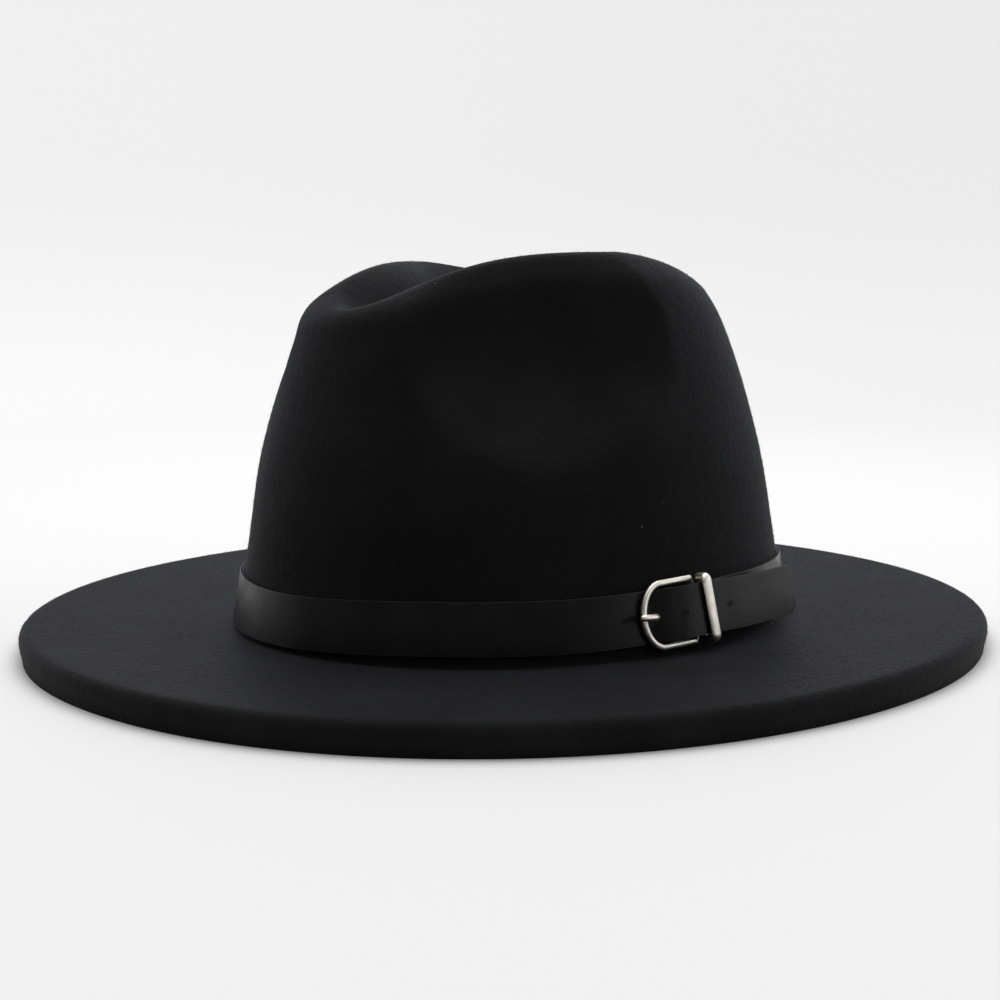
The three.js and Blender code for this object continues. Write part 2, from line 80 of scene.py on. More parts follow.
class Stretch(Enum):
    """The stretches of the strap, from its hidden tail to its free end."""

    TAIL = "tail"
    FOLD = "fold"
    ROUND = "round"
    FREE = "free"


class CrownRing(NamedTuple):
    """One ring of the crown: its reaches from the middle, its heights and how pointed it is."""

    front: float
    back: float
    side: float
    front_z: float
    side_z: float
    back_z: float
    nose: float
    nape: float


# front, back, side, front_z, side_z, back_z, nose, nape
CROWN_RINGS = (
    CrownRing(101.1, 106.1, 89.5, 8.0, 8.0, 8.0, 2.0, 2.0),
    CrownRing(96.2, 101.8, 85.5, 34.0, 34.0, 34.0, 2.0, 2.0),
    CrownRing(92.2, 96.3, 80.9, 62.0, 62.0, 62.0, 2.0, 2.0),
    CrownRing(85.5, 89.5, 74.0, 85.8, 89.5, 85.1, 2.0, 2.0),
    CrownRing(81.0, 83.0, 67.9, 101.7, 109.4, 101.5, 2.0, 2.0),
    CrownRing(78.7, 77.1, 63.3, 109.8, 120.3, 111.5, 1.95, 2.0),
    CrownRing(75.3, 70.4, 57.9, 113.8, 126.4, 118.1, 1.85, 2.05),
    CrownRing(71.8, 62.6, 50.5, 114.5, 131.1, 120.2, 1.75, 2.1),
    CrownRing(68.6, 54.9, 43.9, 113.2, 129.3, 118.0, 1.65, 2.1),
    CrownRing(58.0, 45.0, 28.0, 108.2, 117.0, 111.0, 1.6, 2.1),
    CrownRing(44.0, 33.0, 17.0, 105.2, 109.0, 106.0, 1.7, 2.0),
    CrownRing(24.0, 18.0, 9.0, 104.5, 106.0, 104.0, 1.9, 2.0),
    CrownRing(0.0, 0.0, 0.0, 104.5, 104.5, 104.5, 2.0, 2.0),
)


class LowEdge(NamedTuple):
    """The height of the strap's lower edge at a turn in degrees, counted from the buckle."""

    turn: float
    low: float


STRAP_HEIGHTS = (
    LowEdge(-4, 12.0), LowEdge(30, 11.2), LowEdge(64, 9.3), LowEdge(98, 9.2), LowEdge(132, 8.9),
    LowEdge(166, 8.7), LowEdge(200, 8.5), LowEdge(234, 8.3), LowEdge(268, 8.4), LowEdge(302, 10.6),
    LowEdge(336, 10.9), LowEdge(370, 12.6), LowEdge(404, 12.6),
)


def smooth_step(value: float) -> float:
    """Eases a value between 0 and 1."""
    t = min(max(value, 0.0), 1.0)
    return t * t * (3 - 2 * t)


def read_column(rows: Sequence[NamedTuple], column: str, fraction: float) -> float:
    """Reads a smooth curve through one column of a table.

    Args:
        rows: The table, evenly spaced.
        column: The name of the column.
        fraction: Where to read, from 0 at the first row to 1 at the last.

    Returns:
        The value of the curve there.
    """
    last = len(rows) - 1
    position = min(max(fraction, 0.0), 1.0) * last
    row = min(int(position), last - 1)
    t = position - row
    before, start, end, after = (
        getattr(rows[min(max(k, 0), last)], column) for k in range(row - 1, row + 3)
    )
    bend = 2 * before - 5 * start + 4 * end - after
    curl = 3 * start - before - 3 * end + after
    return 0.5 * (2 * start + (end - before) * t + bend * t ** 2 + curl * t ** 3)


class EasedRun:
    """A curve through unevenly spaced knots that never swings past them."""

    def __init__(self, knots: Sequence[tuple[float, float]]) -> None:
        """Works out the slopes at the knots.

        Args:
            knots: Pairs of place and value, with rising places.
        """
        self.places = [place for place, _ in knots]
        self.values = [value for _, value in knots]
        rises = [
            (self.values[k + 1] - self.values[k]) / (self.places[k + 1] - self.places[k])
            for k in range(len(knots) - 1)
        ]
        self.slopes = [rises[0]] + [
            0.0 if a * b <= 0 else 2 * a * b / (a + b) for a, b in zip(rises, rises[1:])
        ] + [rises[-1]]

    def at(self, place: float) -> float:
        """Reads the curve.

        Args:
            place: Where to read it; past its ends it stays level.

        Returns:
            The value there.
        """
        k = min(max(bisect_right(self.places, place) - 1, 0), len(self.places) - 2)
        span = self.places[k + 1] - self.places[k]
        t = min(max((place - self.places[k]) / span, 0.0), 1.0)
        start, end = self.values[k], self.values[k + 1]
        leave, arrive = self.slopes[k] * span, self.slopes[k + 1] * span
        return (
            start + leave * t + (3 * (end - start) - 2 * leave - arrive) * t ** 2
            + (2 * (start - end) + leave + arrive) * t ** 3
        )


def smooth_chain(knots: Sequence[Vector], steps: int) -> list[Vector]:
    """Draws a smooth curve through a row of points.

    Args:
        knots: The points to pass through.
        steps: How many steps to take between two of them.

    Returns:
        The points of the curve.
    """
    last = len(knots) - 1
    points: list[Vector] = []
    for k in range(last):
        start, end = knots[k], knots[k + 1]
        reach = (end - start).length / 3
        leave = start + (end - knots[max(k - 1, 0)]).normalized() * reach
        arrive = end - (knots[min(k + 2, last)] - start).normalized() * reach
        points.extend(interpolate_bezier(start, leave, arrive, end, steps + 1)[:-1])
    return points + [knots[-1].copy()]


def place(origin: Vector, across: Vector, off: Vector, half_across: float, half_off: float) -> Matrix:
    """Makes the matrix that puts a unit section at a point, stretched to its half sizes.

    Args:
        origin: The middle of the section.
        across: The direction of the section's own X.
        off: The direction of the section's own Y.
        half_across: Half the section's size along X.
        half_off: Half the section's size along Y.

    Returns:
        The placing matrix.
    """
    heading = across.cross(off).normalized()
    columns = (across * half_across, off * half_off, heading, origin)
    matrix = Matrix([column.to_4d() for column in columns]).transposed()
    for k in range(3):
        matrix[3][k] = 0.0
    return matrix


def edges_of(parts: Iterable[BMVert | BMFace]) -> list[BMEdge]:
    """Lists the edges of some vertices or faces, each once and always in the same order.

    Args:
        parts: The vertices or the faces.

    Returns:
        Their edges.
    """
    joined = (part.link_edges if isinstance(part, BMVert) else part.edges for part in parts)
    return list(dict.fromkeys(chain.from_iterable(joined)))


def sweep(
    bm: BMesh,
    places: Sequence[Matrix],
    corners: int,
    closed: bool,
    shape: Optional[Callable[[Vector], Vector]] = None,
) -> None:
    """Draws a section along a row of places.

    Args:
        bm: The mesh to draw in.
        places: The matrices of the section, in order.
        corners: How many corners the section has.
        closed: Whether the last place meets the first.
        shape: Turns a point of the unit circle into the section's own point.
    """
    ring = bmesh.ops.create_circle(bm, segments=corners, radius=1.0)["verts"]
    edges = edges_of(ring)
    for vert in ring:
        vert.co = places[0] @ (shape(vert.co) if shape else vert.co)
    stops = list(places[1:]) + ([places[0]] if closed else [])
    here = places[0]
    if not closed:
        bmesh.ops.edgeloop_fill(bm, edges=edges)
    for there in stops:
        made = bmesh.ops.extrude_edge_only(bm, edges=edges)["geom"]
        ring = [item for item in made if isinstance(item, BMVert)]
        held = set(ring)
        bmesh.ops.transform(bm, matrix=there @ here.inverted(), verts=ring)
        edges = [item for item in made if isinstance(item, BMEdge) and held.issuperset(item.verts)]
        here = there
    if not closed:
        bmesh.ops.edgeloop_fill(bm, edges=edges)
    bmesh.ops.remove_doubles(bm, verts=bm.verts, dist=SEAM_GAP)
    bmesh.ops.recalc_face_normals(bm, faces=bm.faces)


def finish_piece(
    bm: BMesh, name: str, node: Optional[str], material: bpy.types.Material
) -> bpy.types.Object:
    """Turns a modelled mesh into a dressed piece of the hat, in metres.

    Args:
        bm: The mesh, in millimetres, which is freed.
        name: The piece's name.
        node: The node that the piece stands for, if it stands for one.
        material: The finish.

    Returns:
        The finished piece.
    """
    bmesh.ops.scale(bm, vec=(MM, MM, MM), verts=bm.verts)
    mesh = bpy.data.meshes.new(name)
    bm.to_mesh(mesh)
    bm.free()
    mesh.shade_smooth()
    mesh.materials.append(material)
    piece = bpy.data.objects.new(name, mesh)
    bpy.context.scene.collection.objects.link(piece)
    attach(piece, "root")
    if node:
        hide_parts(node)
    LOG.info("%s: %d faces", name, len(mesh.polygons))
    return piece


@dataclass
class HatForm:
    """The blocked outer face of the felt: an oval brim with a turned-down lip, and the crown."""

    brim_length: float = 343.6
    brim_width: float = 319.2
    brim_fullness: float = 2.05
    edge_height: float = 9.8
    foot_height: float = 7.0
    lip_radius: float = 3.3
    lip_drawn_in: float = 1.0
    foot_fillet: float = 1.0
    ridge_front_fall: float = 3.45
    ridge_back_fall: float = 1.4
    ridge_left_lift: float = 0.03
    ridge_lift_from: float = 60.0
    ridge_lift_over: float = 60.0
    pinch_angle: float = -35.0
    pinch_height: float = 101.0
    pinch_depth: float = 16.0
    pinch_along: float = 44.0
    pinch_up: float = 38.0
    pinch_down: float = 34.0
    pinch_softness: float = 1.15
    pinch_fade_from: float = 25.0
    pinch_fade_over: float = 25.0
    wall_top_ring: int = 2
    halvings: int = 24
    tangent_step: float = 0.5

    @staticmethod
    @lru_cache(maxsize=4096)
    def ring_at(climb: float) -> CrownRing:
        """Reads the crown's table at a climb from 0, the foot, to 1, the middle of the crease."""
        return CrownRing(*(read_column(CROWN_RINGS, column, climb) for column in CrownRing._fields))

    @staticmethod
    def spread(theta: float, power: float) -> float:
        """Gives the radius of a rounded unit oval at an angle."""
        return (abs(cos(theta)) ** power + abs(sin(theta)) ** power) ** (-1 / power)

    def pinched(self, point: Vector) -> Vector:
        """Presses the two pinches into the crown.

        Args:
            point: A point of the crown before it is pinched.

        Returns:
            The point, moved inwards where it lies in a pinch.
        """
        angle = radians(self.pinch_angle)
        for side in (1, -1):
            outward = Vector((side * cos(angle), sin(angle), 0.0))
            along = Vector((-side * sin(angle), cos(angle), 0.0))
            rise = point.z - self.pinch_height
            reach = self.pinch_up if rise > 0 else self.pinch_down
            bowl = 1 - (point.dot(along) / self.pinch_along) ** 2 - (rise / reach) ** 2
            fade = smooth_step((point.dot(outward) - self.pinch_fade_from) / self.pinch_fade_over)
            point = point - outward * (self.pinch_depth * max(bowl, 0.0) ** self.pinch_softness * fade)
        return point

    def crown_point(self, theta: float, climb: float) -> Vector:
        """Gives a point of the crown's outer face.

        Args:
            theta: The angle round the hat, from +X towards +Y.
            climb: From 0 at the foot over the ridge to 1 in the middle of the crease.

        Returns:
            The point.
        """
        ring = self.ring_at(climb)
        at_front = sin(theta) < 0
        spread = self.spread(theta, ring.nose if at_front else ring.nape)
        lengthwise = spread * sin(theta)
        end_z = ring.front_z if at_front else ring.back_z
        fall = abs(lengthwise) ** (self.ridge_front_fall if at_front else self.ridge_back_fall)
        x = ring.side * spread * cos(theta)
        lift_share = min(max((ring.side_z - self.ridge_lift_from) / self.ridge_lift_over, 0.0), 1.0)
        z = ring.side_z + (end_z - ring.side_z) * fall + self.ridge_left_lift * x * lift_share
        y = (ring.front if at_front else ring.back) * lengthwise
        return self.pinched(Vector((x, y, z)))

    def brim_point(self, theta: float, inset: float, z: float) -> Vector:
        """Gives a point on the brim's oval outline.

        Args:
            theta: The angle round the hat.
            inset: How far the outline is drawn in.
            z: The height.

        Returns:
            The point.
        """
        spread = self.spread(theta, self.brim_fullness)
        return Vector((
            (self.brim_width / 2 - inset) * spread * cos(theta),
            (self.brim_length / 2 - inset) * spread * sin(theta),
            z,
        ))

    def foot_point(self, theta: float, outwards: float, z: float) -> Vector:
        """Gives a point beside the crown's foot.

        Args:
            theta: The angle round the hat.
            outwards: How far from the foot it lies, along the brim.
            z: The height.

        Returns:
            The point.
        """
        foot = self.crown_point(theta, 0.0)
        flat = Vector((foot.x, foot.y, 0.0))
        point = flat + flat.normalized() * outwards
        point.z = z
        return point

    def outer_point(self, theta: float, zone: Zone, share: float) -> Vector:
        """Gives a point of the felt's outer face.

        Args:
            theta: The angle round the hat.
            zone: The stretch that the point is on.
            share: How far along that stretch it is, from 0 to 1.

        Returns:
            The point.
        """
        if zone is Zone.LIP:
            straight = self.edge_height - self.lip_radius
            run = share * (straight + self.lip_radius * pi / 2)
            if run < straight:
                inset = self.lip_drawn_in * (1 - smooth_step(run / straight))
                return self.brim_point(theta, inset, run)
            turn = (run - straight) / self.lip_radius
            inset = self.lip_radius * (1 - cos(turn))
            return self.brim_point(theta, inset, straight + self.lip_radius * sin(turn))
        if zone is Zone.BRIM:
            edge = self.brim_point(theta, self.lip_radius, self.edge_height)
            return edge.lerp(self.foot_point(theta, self.foot_fillet, self.foot_height), share)
        if zone is Zone.FOOT:
            turn = share * pi / 2
            rise = self.crown_point(theta, 0.0).z - self.foot_height
            outwards = self.foot_fillet * (1 - sin(turn))
            return self.foot_point(theta, outwards, self.foot_height + rise * (1 - cos(turn)))
        return self.crown_point(theta, share)

    def wall_point(self, turn: float, height: float) -> Vector:
        """Finds the crown's outer face at a height low on the wall.

        Args:
            turn: The angle round the hat, in degrees.
            height: The height, below the pinches.

        Returns:
            The point of the wall there.
        """
        theta = radians(turn)
        low, high = 0.0, self.wall_top_ring / (len(CROWN_RINGS) - 1)
        for _ in range(self.halvings):
            middle = (low + high) / 2
            if self.crown_point(theta, middle).z < height:
                low = middle
            else:
                high = middle
        return self.crown_point(theta, low)


@dataclass
class WallFrame:
    """Directions on the crown's wall under the strap."""

    middle: Vector
    tangent: Vector
    lean: Vector
    outward: Vector


@dataclass
class Station:
    """A place on the strap's centre line, with the direction across the strap."""

    point: Vector
    lean: Vector
    stretch: Stretch
    from_bar: float


@dataclass
class StrapPath:
    """The strap's run round the hat, and the buckle's plane that it is folded in.

    from_bar counts round the hat from the buckle's bar, and off counts from the felt's face
    to the middle of the leather.
    """

    form: HatForm
    width: float = 16.6
    thickness: float = 1.1
    gap: float = 0.3
    bar_angle: float = -2.9
    bar_radius: float = 0.65
    buckle_length: float = 21.4
    arch_clearance: float = 0.8
    arch_depth: float = 1.7
    wall_radius: float = 98.0
    free_length: float = 53.0
    free_inward: float = 7.0
    free_drop: float = 0.9
    step: float = 0.5
    lap_step: float = 2.0
    fold_steps: int = 14
    tail_from: float = 10.0
    fold_from: float = 1.3
    main_to: float = 20.0
    return_from: float = -30.0
    free_from: float = 3.0

    def __post_init__(self) -> None:
        """Works out the buckle's plane and the eased runs beside it."""
        self.lying = self.gap + self.thickness / 2
        self.fold_radius = self.bar_radius + self.gap + self.thickness / 2
        self.bar_off = self.lying + self.fold_radius
        main_at_bar = self.bar_off + self.fold_radius
        self.free_at_bar = main_at_bar + self.thickness + self.gap
        self.main_run = EasedRun([
            (self.fold_from, main_at_bar), (5, 3.8), (8, 3.35), (12, 2.1), (16, 1.25),
            (self.main_to, self.lying),
        ])
        self.return_run = EasedRun([
            (self.return_from, self.lying), (-24, self.lying), (-18.9, self.lying), (-16.8, 1.05),
            (-15.1, 1.9), (-12.8, 3.1), (-9, 4.1), (-5.5, 4.95), (-2.5, self.free_at_bar),
            (self.free_from, self.free_at_bar),
        ])
        self.bar_frame = self.wall_frame(self.bar_angle)
        self.bar_centre = self.beside_bar(0.0, 0.0, self.bar_off)
        arch_off = self.gap + self.thickness + self.arch_clearance + self.arch_depth / 2
        arch_centre = self.off_wall(self.turn_from_bar(-self.buckle_length) + 360, arch_off)
        self.along = (self.bar_centre - arch_centre).normalized()
        self.outward = self.along.cross(self.bar_frame.lean).normalized()
        self.up = self.outward.cross(self.along).normalized()

    def low_edge(self, turn: float) -> float:
        """Gives the height of the strap's lower edge at a turn in degrees."""
        first, last = STRAP_HEIGHTS[0].turn, STRAP_HEIGHTS[-1].turn
        return read_column(STRAP_HEIGHTS, "low", (turn - first) / (last - first))

    def wall_frame(self, turn: float) -> WallFrame:
        """Gives the directions on the wall behind the strap.

        Args:
            turn: The angle round the hat, in degrees.

        Returns:
            The wall's frame, halfway up the strap.
        """
        low = self.low_edge(turn)
        lower = self.form.wall_point(turn, low)
        lean = (self.form.wall_point(turn, low + self.width) - lower).normalized()
        ahead = self.form.wall_point(turn + self.form.tangent_step, low)
        behind = self.form.wall_point(turn - self.form.tangent_step, low)
        tangent = (ahead - behind).normalized()
        outward = tangent.cross(lean).normalized()
        return WallFrame(lower + lean * (self.width / 2), tangent, lean, outward)

    def turn_from_bar(self, from_bar: float) -> float:
        """Turns a distance from the bar into degrees round the hat."""
        return self.bar_angle + degrees(from_bar / self.wall_radius)

    def beside_bar(self, along: float, up: float, off: float) -> Vector:
        """Gives a point in the wall's directions at the bar."""
        at = self.bar_frame
        return at.middle + at.tangent * along + at.lean * up + at.outward * off

    def off_wall(self, turn: float, off: float) -> Vector:
        """Gives a point of the strap's centre line, standing off the wall."""
        at = self.wall_frame(turn)
        return at.middle + at.outward * off

    def on_buckle(self, along: float, up: float, off: float) -> Vector:
        """Gives a point in the buckle's plane, raised off it by off."""
        return self.bar_centre + self.along * along + self.up * up + self.outward * off

    def station(self, from_bar: float, stretch: Stretch, off: float) -> Station:
        """Gives a station that follows the wall.

        Args:
            from_bar: How far round the hat it lies from the bar.
            stretch: The stretch of the strap that it belongs to.
            off: How far the leather's middle stands off the felt.

        Returns:
            The station.
        """
        lap = 360 if stretch is Stretch.FREE else 0
        at = self.wall_frame(self.turn_from_bar(from_bar) + lap)
        return Station(at.middle + at.outward * off, at.lean, stretch, from_bar)

    def evenly(self, start: float, end: float, step: float) -> list[float]:
        """Divides a stretch into even steps, both ends included."""
        count = max(round(abs(end - start) / step), 1)
        return [start + (end - start) * k / count for k in range(count + 1)]

    def stations(self) -> list[Station]:
        """Lists the strap's centre line, from its hidden tail round the bar to its free end.

        Returns:
            The stations, in order.
        """
        hidden = self.evenly(self.tail_from, self.fold_from, self.step)
        found = [self.station(x, Stretch.TAIL, self.lying) for x in hidden]
        for k in range(self.fold_steps + 1):
            angle = -pi / 2 - pi * k / self.fold_steps
            point = self.on_buckle(self.fold_radius * cos(angle), 0.0, self.fold_radius * sin(angle))
            found.append(Station(point, self.up, Stretch.FOLD, 0.0))
        leaving = self.evenly(self.fold_from, self.main_to, self.step)
        found += [self.station(x, Stretch.ROUND, self.main_run.at(x)) for x in leaving]
        before_lap = self.return_from + self.wall_radius * 2 * pi
        lap = self.evenly(self.main_to, before_lap, self.lap_step)[1:-1]
        found += [self.station(x, Stretch.ROUND, self.lying) for x in lap]
        returning = self.evenly(self.return_from, self.free_from, self.step)
        found += [self.station(x, Stretch.FREE, self.return_run.at(x)) for x in returning]
        leave_height = found[-1].point.z
        for x in self.evenly(self.free_from, self.free_length, self.step)[1:]:
            part = (x - self.free_from) / (self.free_length - self.free_from)
            point = self.beside_bar(x, 0.0, self.free_at_bar - self.free_inward * part * part)
            point.z = leave_height - self.free_drop * part
            lean = self.wall_frame(self.turn_from_bar(x)).lean
            found.append(Station(point, lean, Stretch.FREE, x))
        return found


class StrapWrap:
    """Bends a flat strip of leather onto the strap's path."""

    def __init__(self, stations: Sequence[Station]) -> None:
        """Measures the path and the directions along it.

        Args:
            stations: The strap's centre line.
        """
        last = len(stations) - 1
        self.reach = [0.0]
        for here, there in zip(stations, stations[1:]):
            self.reach.append(self.reach[-1] + (there.point - here.point).length)
        self.stations = stations
        self.points = [station.point for station in stations]
        self.ups: list[Vector] = []
        self.outwards: list[Vector] = []
        for k, station in enumerate(stations):
            tangent = (self.points[min(k + 1, last)] - self.points[max(k - 1, 0)]).normalized()
            outward = tangent.cross(station.lean).normalized()
            self.outwards.append(outward)
            self.ups.append(outward.cross(tangent).normalized())

    @property
    def length(self) -> float:
        """The strap's whole length."""
        return self.reach[-1]

    def stretch_ends(self, stretch: Stretch) -> tuple[float, float]:
        """Gives how far along the strap a stretch starts and ends."""
        inside = [reach for reach, at in zip(self.reach, self.stations) if at.stretch is stretch]
        return inside[0], inside[-1]

    def place_of(self, from_bar: float) -> float:
        """Finds how far along the strap a place on its free stretch lies.

        Args:
            from_bar: The distance from the bar round the hat.

        Returns:
            The distance along the strap.
        """
        free = [k for k, at in enumerate(self.stations) if at.stretch is Stretch.FREE]
        k = next(k for k in free[1:] if self.stations[k].from_bar >= from_bar)
        near, far = self.stations[k - 1].from_bar, self.stations[k].from_bar
        share = (from_bar - near) / (far - near)
        return self.reach[k - 1] + (self.reach[k] - self.reach[k - 1]) * share

    def bent(self, flat: Vector) -> Vector:
        """Bends the flat strip onto the path.

        Args:
            flat: A point of the strip: along it, across it and through it.

        Returns:
            The point on the hat.
        """
        k = min(max(bisect_right(self.reach, flat.x) - 1, 0), len(self.reach) - 2)
        t = (flat.x - self.reach[k]) / (self.reach[k + 1] - self.reach[k])
        point = self.points[k].lerp(self.points[k + 1], t)
        up = self.ups[k].lerp(self.ups[k + 1], t).normalized()
        outward = self.outwards[k].lerp(self.outwards[k + 1], t).normalized()
        return point + up * flat.y + outward * flat.z


class Graph:
    """A node tree under construction."""

    def __init__(self, tree: bpy.types.NodeTree) -> None:
        """Empties a node tree to build in it."""
        self.tree = tree
        tree.nodes.clear()

    def add(self, kind: str, inputs: Optional[dict] = None, **settings: object) -> bpy.types.Node:
        """Adds a node.

        Args:
            kind: The node's type.
            inputs: Sockets to link or values to set, by the input's name or number.
            settings: Properties of the node itself.

        Returns:
            The node.
        """
        node = self.tree.nodes.new(kind)
        for name, value in settings.items():
            setattr(node, name, value)
        for name, value in (inputs or {}).items():
            socket = node.inputs[name]
            if isinstance(value, bpy.types.NodeSocket):
                self.tree.links.new(value, socket)
            else:
                socket.default_value = value
        return node

    def math(self, operation: str, *values: object) -> bpy.types.NodeSocket:
        """Adds a sum of one, two or three values and gives its result."""
        return self.add("ShaderNodeMath", dict(enumerate(values)), operation=operation).outputs[0]

    def span(
        self, value: object, low: float, high: float, to_low: float = 0.0, to_high: float = 1.0
    ) -> bpy.types.NodeSocket:
        """Maps a value smoothly from one range to another."""
        node = self.add("ShaderNodeMapRange", {
            "Value": value, "From Min": low, "From Max": high, "To Min": to_low, "To Max": to_high,
        }, interpolation_type="SMOOTHSTEP")
        return node.outputs["Result"]

    def dot(self, first: object, second: object) -> bpy.types.NodeSocket:
        """Gives how far one direction goes along another."""
        node = self.add("ShaderNodeVectorMath", {0: first, 1: second}, operation="DOT_PRODUCT")
        return node.outputs["Value"]

    def mix(self, factor: object, first: object, second: object) -> bpy.types.NodeSocket:
        """Mixes two colours.

        Args:
            factor: The share of the second colour.
            first: The first colour.
            second: The second colour.

        Returns:
            The mixed colour.
        """
        node = self.add("ShaderNodeMix", {0: factor, 6: first, 7: second}, data_type="RGBA")
        return node.outputs[2]


Colour = tuple[float, float, float, float]


def grey(level: float, warmth: float = 0.0) -> Colour:
    """Gives a grey, tinted warm above 0 and cool below."""
    return (level * (1 + warmth), level, level * (1 - warmth), 1.0)


class Socket(NamedTuple):
    """A socket of a node group."""

    name: str
    kind: str
    default: Optional[float] = None


def new_group(
    name: str, inputs: Sequence[Socket], outputs: Sequence[Socket]
) -> tuple[bpy.types.NodeTree, Graph, bpy.types.Node]:
    """Starts a shader node group.

    Args:
        name: The group's name.
        inputs: Its input sockets.
        outputs: Its output sockets.

    Returns:
        The group's tree, the graph to build it with and its input node.
    """
    tree = bpy.data.node_groups.new(name, "ShaderNodeTree")
    for socket in inputs:
        made = tree.interface.new_socket(socket.name, in_out="INPUT", socket_type=socket.kind)
        if socket.default is not None:
            made.default_value = socket.default
    for socket in outputs:
        tree.interface.new_socket(socket.name, in_out="OUTPUT", socket_type=socket.kind)
    graph = Graph(tree)
    return tree, graph, graph.add("NodeGroupInput")


# The noise values between which the mottled mask goes from dark to light
CLOUD_RANGE = (0.32, 0.68)


@lru_cache(maxsize=None)
def mottle_group() -> bpy.types.NodeTree:
    """Builds the soft uneven mask that every finish uses for its colour and gloss.

    Returns:
        The group.
    """
    tree, graph, given = new_group(
        "mottle",
        [Socket("Vector", "NodeSocketVector"), Socket("Size", "NodeSocketFloat", 0.02)],
        [Socket("Mask", "NodeSocketFloat")],
    )
    scale = graph.math("DIVIDE", 1.0, given.outputs["Size"])
    cloud = graph.add("ShaderNodeTexNoise", {
        "Vector": given.outputs["Vector"], "Scale": scale, "Detail": 3.0,
    })
    graph.add("NodeGroupOutput", {"Mask": graph.span(cloud.outputs[0], *CLOUD_RANGE)})
    return tree


@lru_cache(maxsize=None)
def grain_group() -> bpy.types.NodeTree:
    """Builds the fine relief that every finish has.

    Returns:
        The group, which puts out a normal.
    """
    tree, graph, given = new_group(
        "grain",
        [
            Socket("Vector", "NodeSocketVector"), Socket("Size", "NodeSocketFloat", 0.001),
            Socket("Height", "NodeSocketFloat"), Socket("Depth", "NodeSocketFloat", 0.0001),
            Socket("Roughness", "NodeSocketFloat", 0.6),
        ],
        [Socket("Normal", "NodeSocketVector")],
    )
    scale = graph.math("DIVIDE", 1.0, given.outputs["Size"])
    fine = graph.add("ShaderNodeTexNoise", {
        "Vector": given.outputs["Vector"], "Scale": scale, "Detail": 4.0,
        "Roughness": given.outputs["Roughness"],
    })
    relief = graph.math("ADD", fine.outputs[0], given.outputs["Height"])
    bump = graph.add("ShaderNodeBump", {"Height": relief, "Distance": given.outputs["Depth"]})
    graph.add("NodeGroupOutput", {"Normal": bump.outputs[0]})
    return tree


@lru_cache(maxsize=None)
def lint_group() -> bpy.types.NodeTree:
    """Builds the mask of the few specks of lint that settle on dark felt.

    Returns:
        The group.
    """
    tree, graph, given = new_group(
        "lint",
        [
            Socket("Vector", "NodeSocketVector"), Socket("Spacing", "NodeSocketFloat", 0.01),
            Socket("Radius", "NodeSocketFloat", 0.05), Socket("Share", "NodeSocketFloat", 0.1),
        ],
        [Socket("Mask", "NodeSocketFloat")],
    )
    scale = graph.math("DIVIDE", 1.0, given.outputs["Spacing"])
    cells = graph.add("ShaderNodeTexVoronoi", {"Vector": given.outputs["Vector"], "Scale": scale})
    near = graph.math("LESS_THAN", cells.outputs["Distance"], given.outputs["Radius"])
    draw = graph.add("ShaderNodeSeparateColor", {"Color": cells.outputs["Color"]})
    kept = graph.math("LESS_THAN", draw.outputs[0], given.outputs["Share"])
    graph.add("NodeGroupOutput", {"Mask": graph.math("MULTIPLY", near, kept)})
    return tree


def use_group(graph: Graph, tree: bpy.types.NodeTree, inputs: dict) -> bpy.types.Node:
    """Places a node group in a material with its own values."""
    return graph.add("ShaderNodeGroup", inputs, node_tree=tree)


def new_material(name: str) -> tuple[bpy.types.Material, Graph, bpy.types.Node]:
    """Starts a material.

    Args:
        name: The material's name.

    Returns:
        The material, the graph to build it with and its main shader.
    """
    material = bpy.data.materials.new(name)
    material.use_nodes = True
    graph = Graph(material.node_tree)
    shader = graph.add("ShaderNodeBsdfPrincipled")
    graph.add("ShaderNodeOutputMaterial", {"Surface": shader.outputs[0]})
    return material, graph, shader


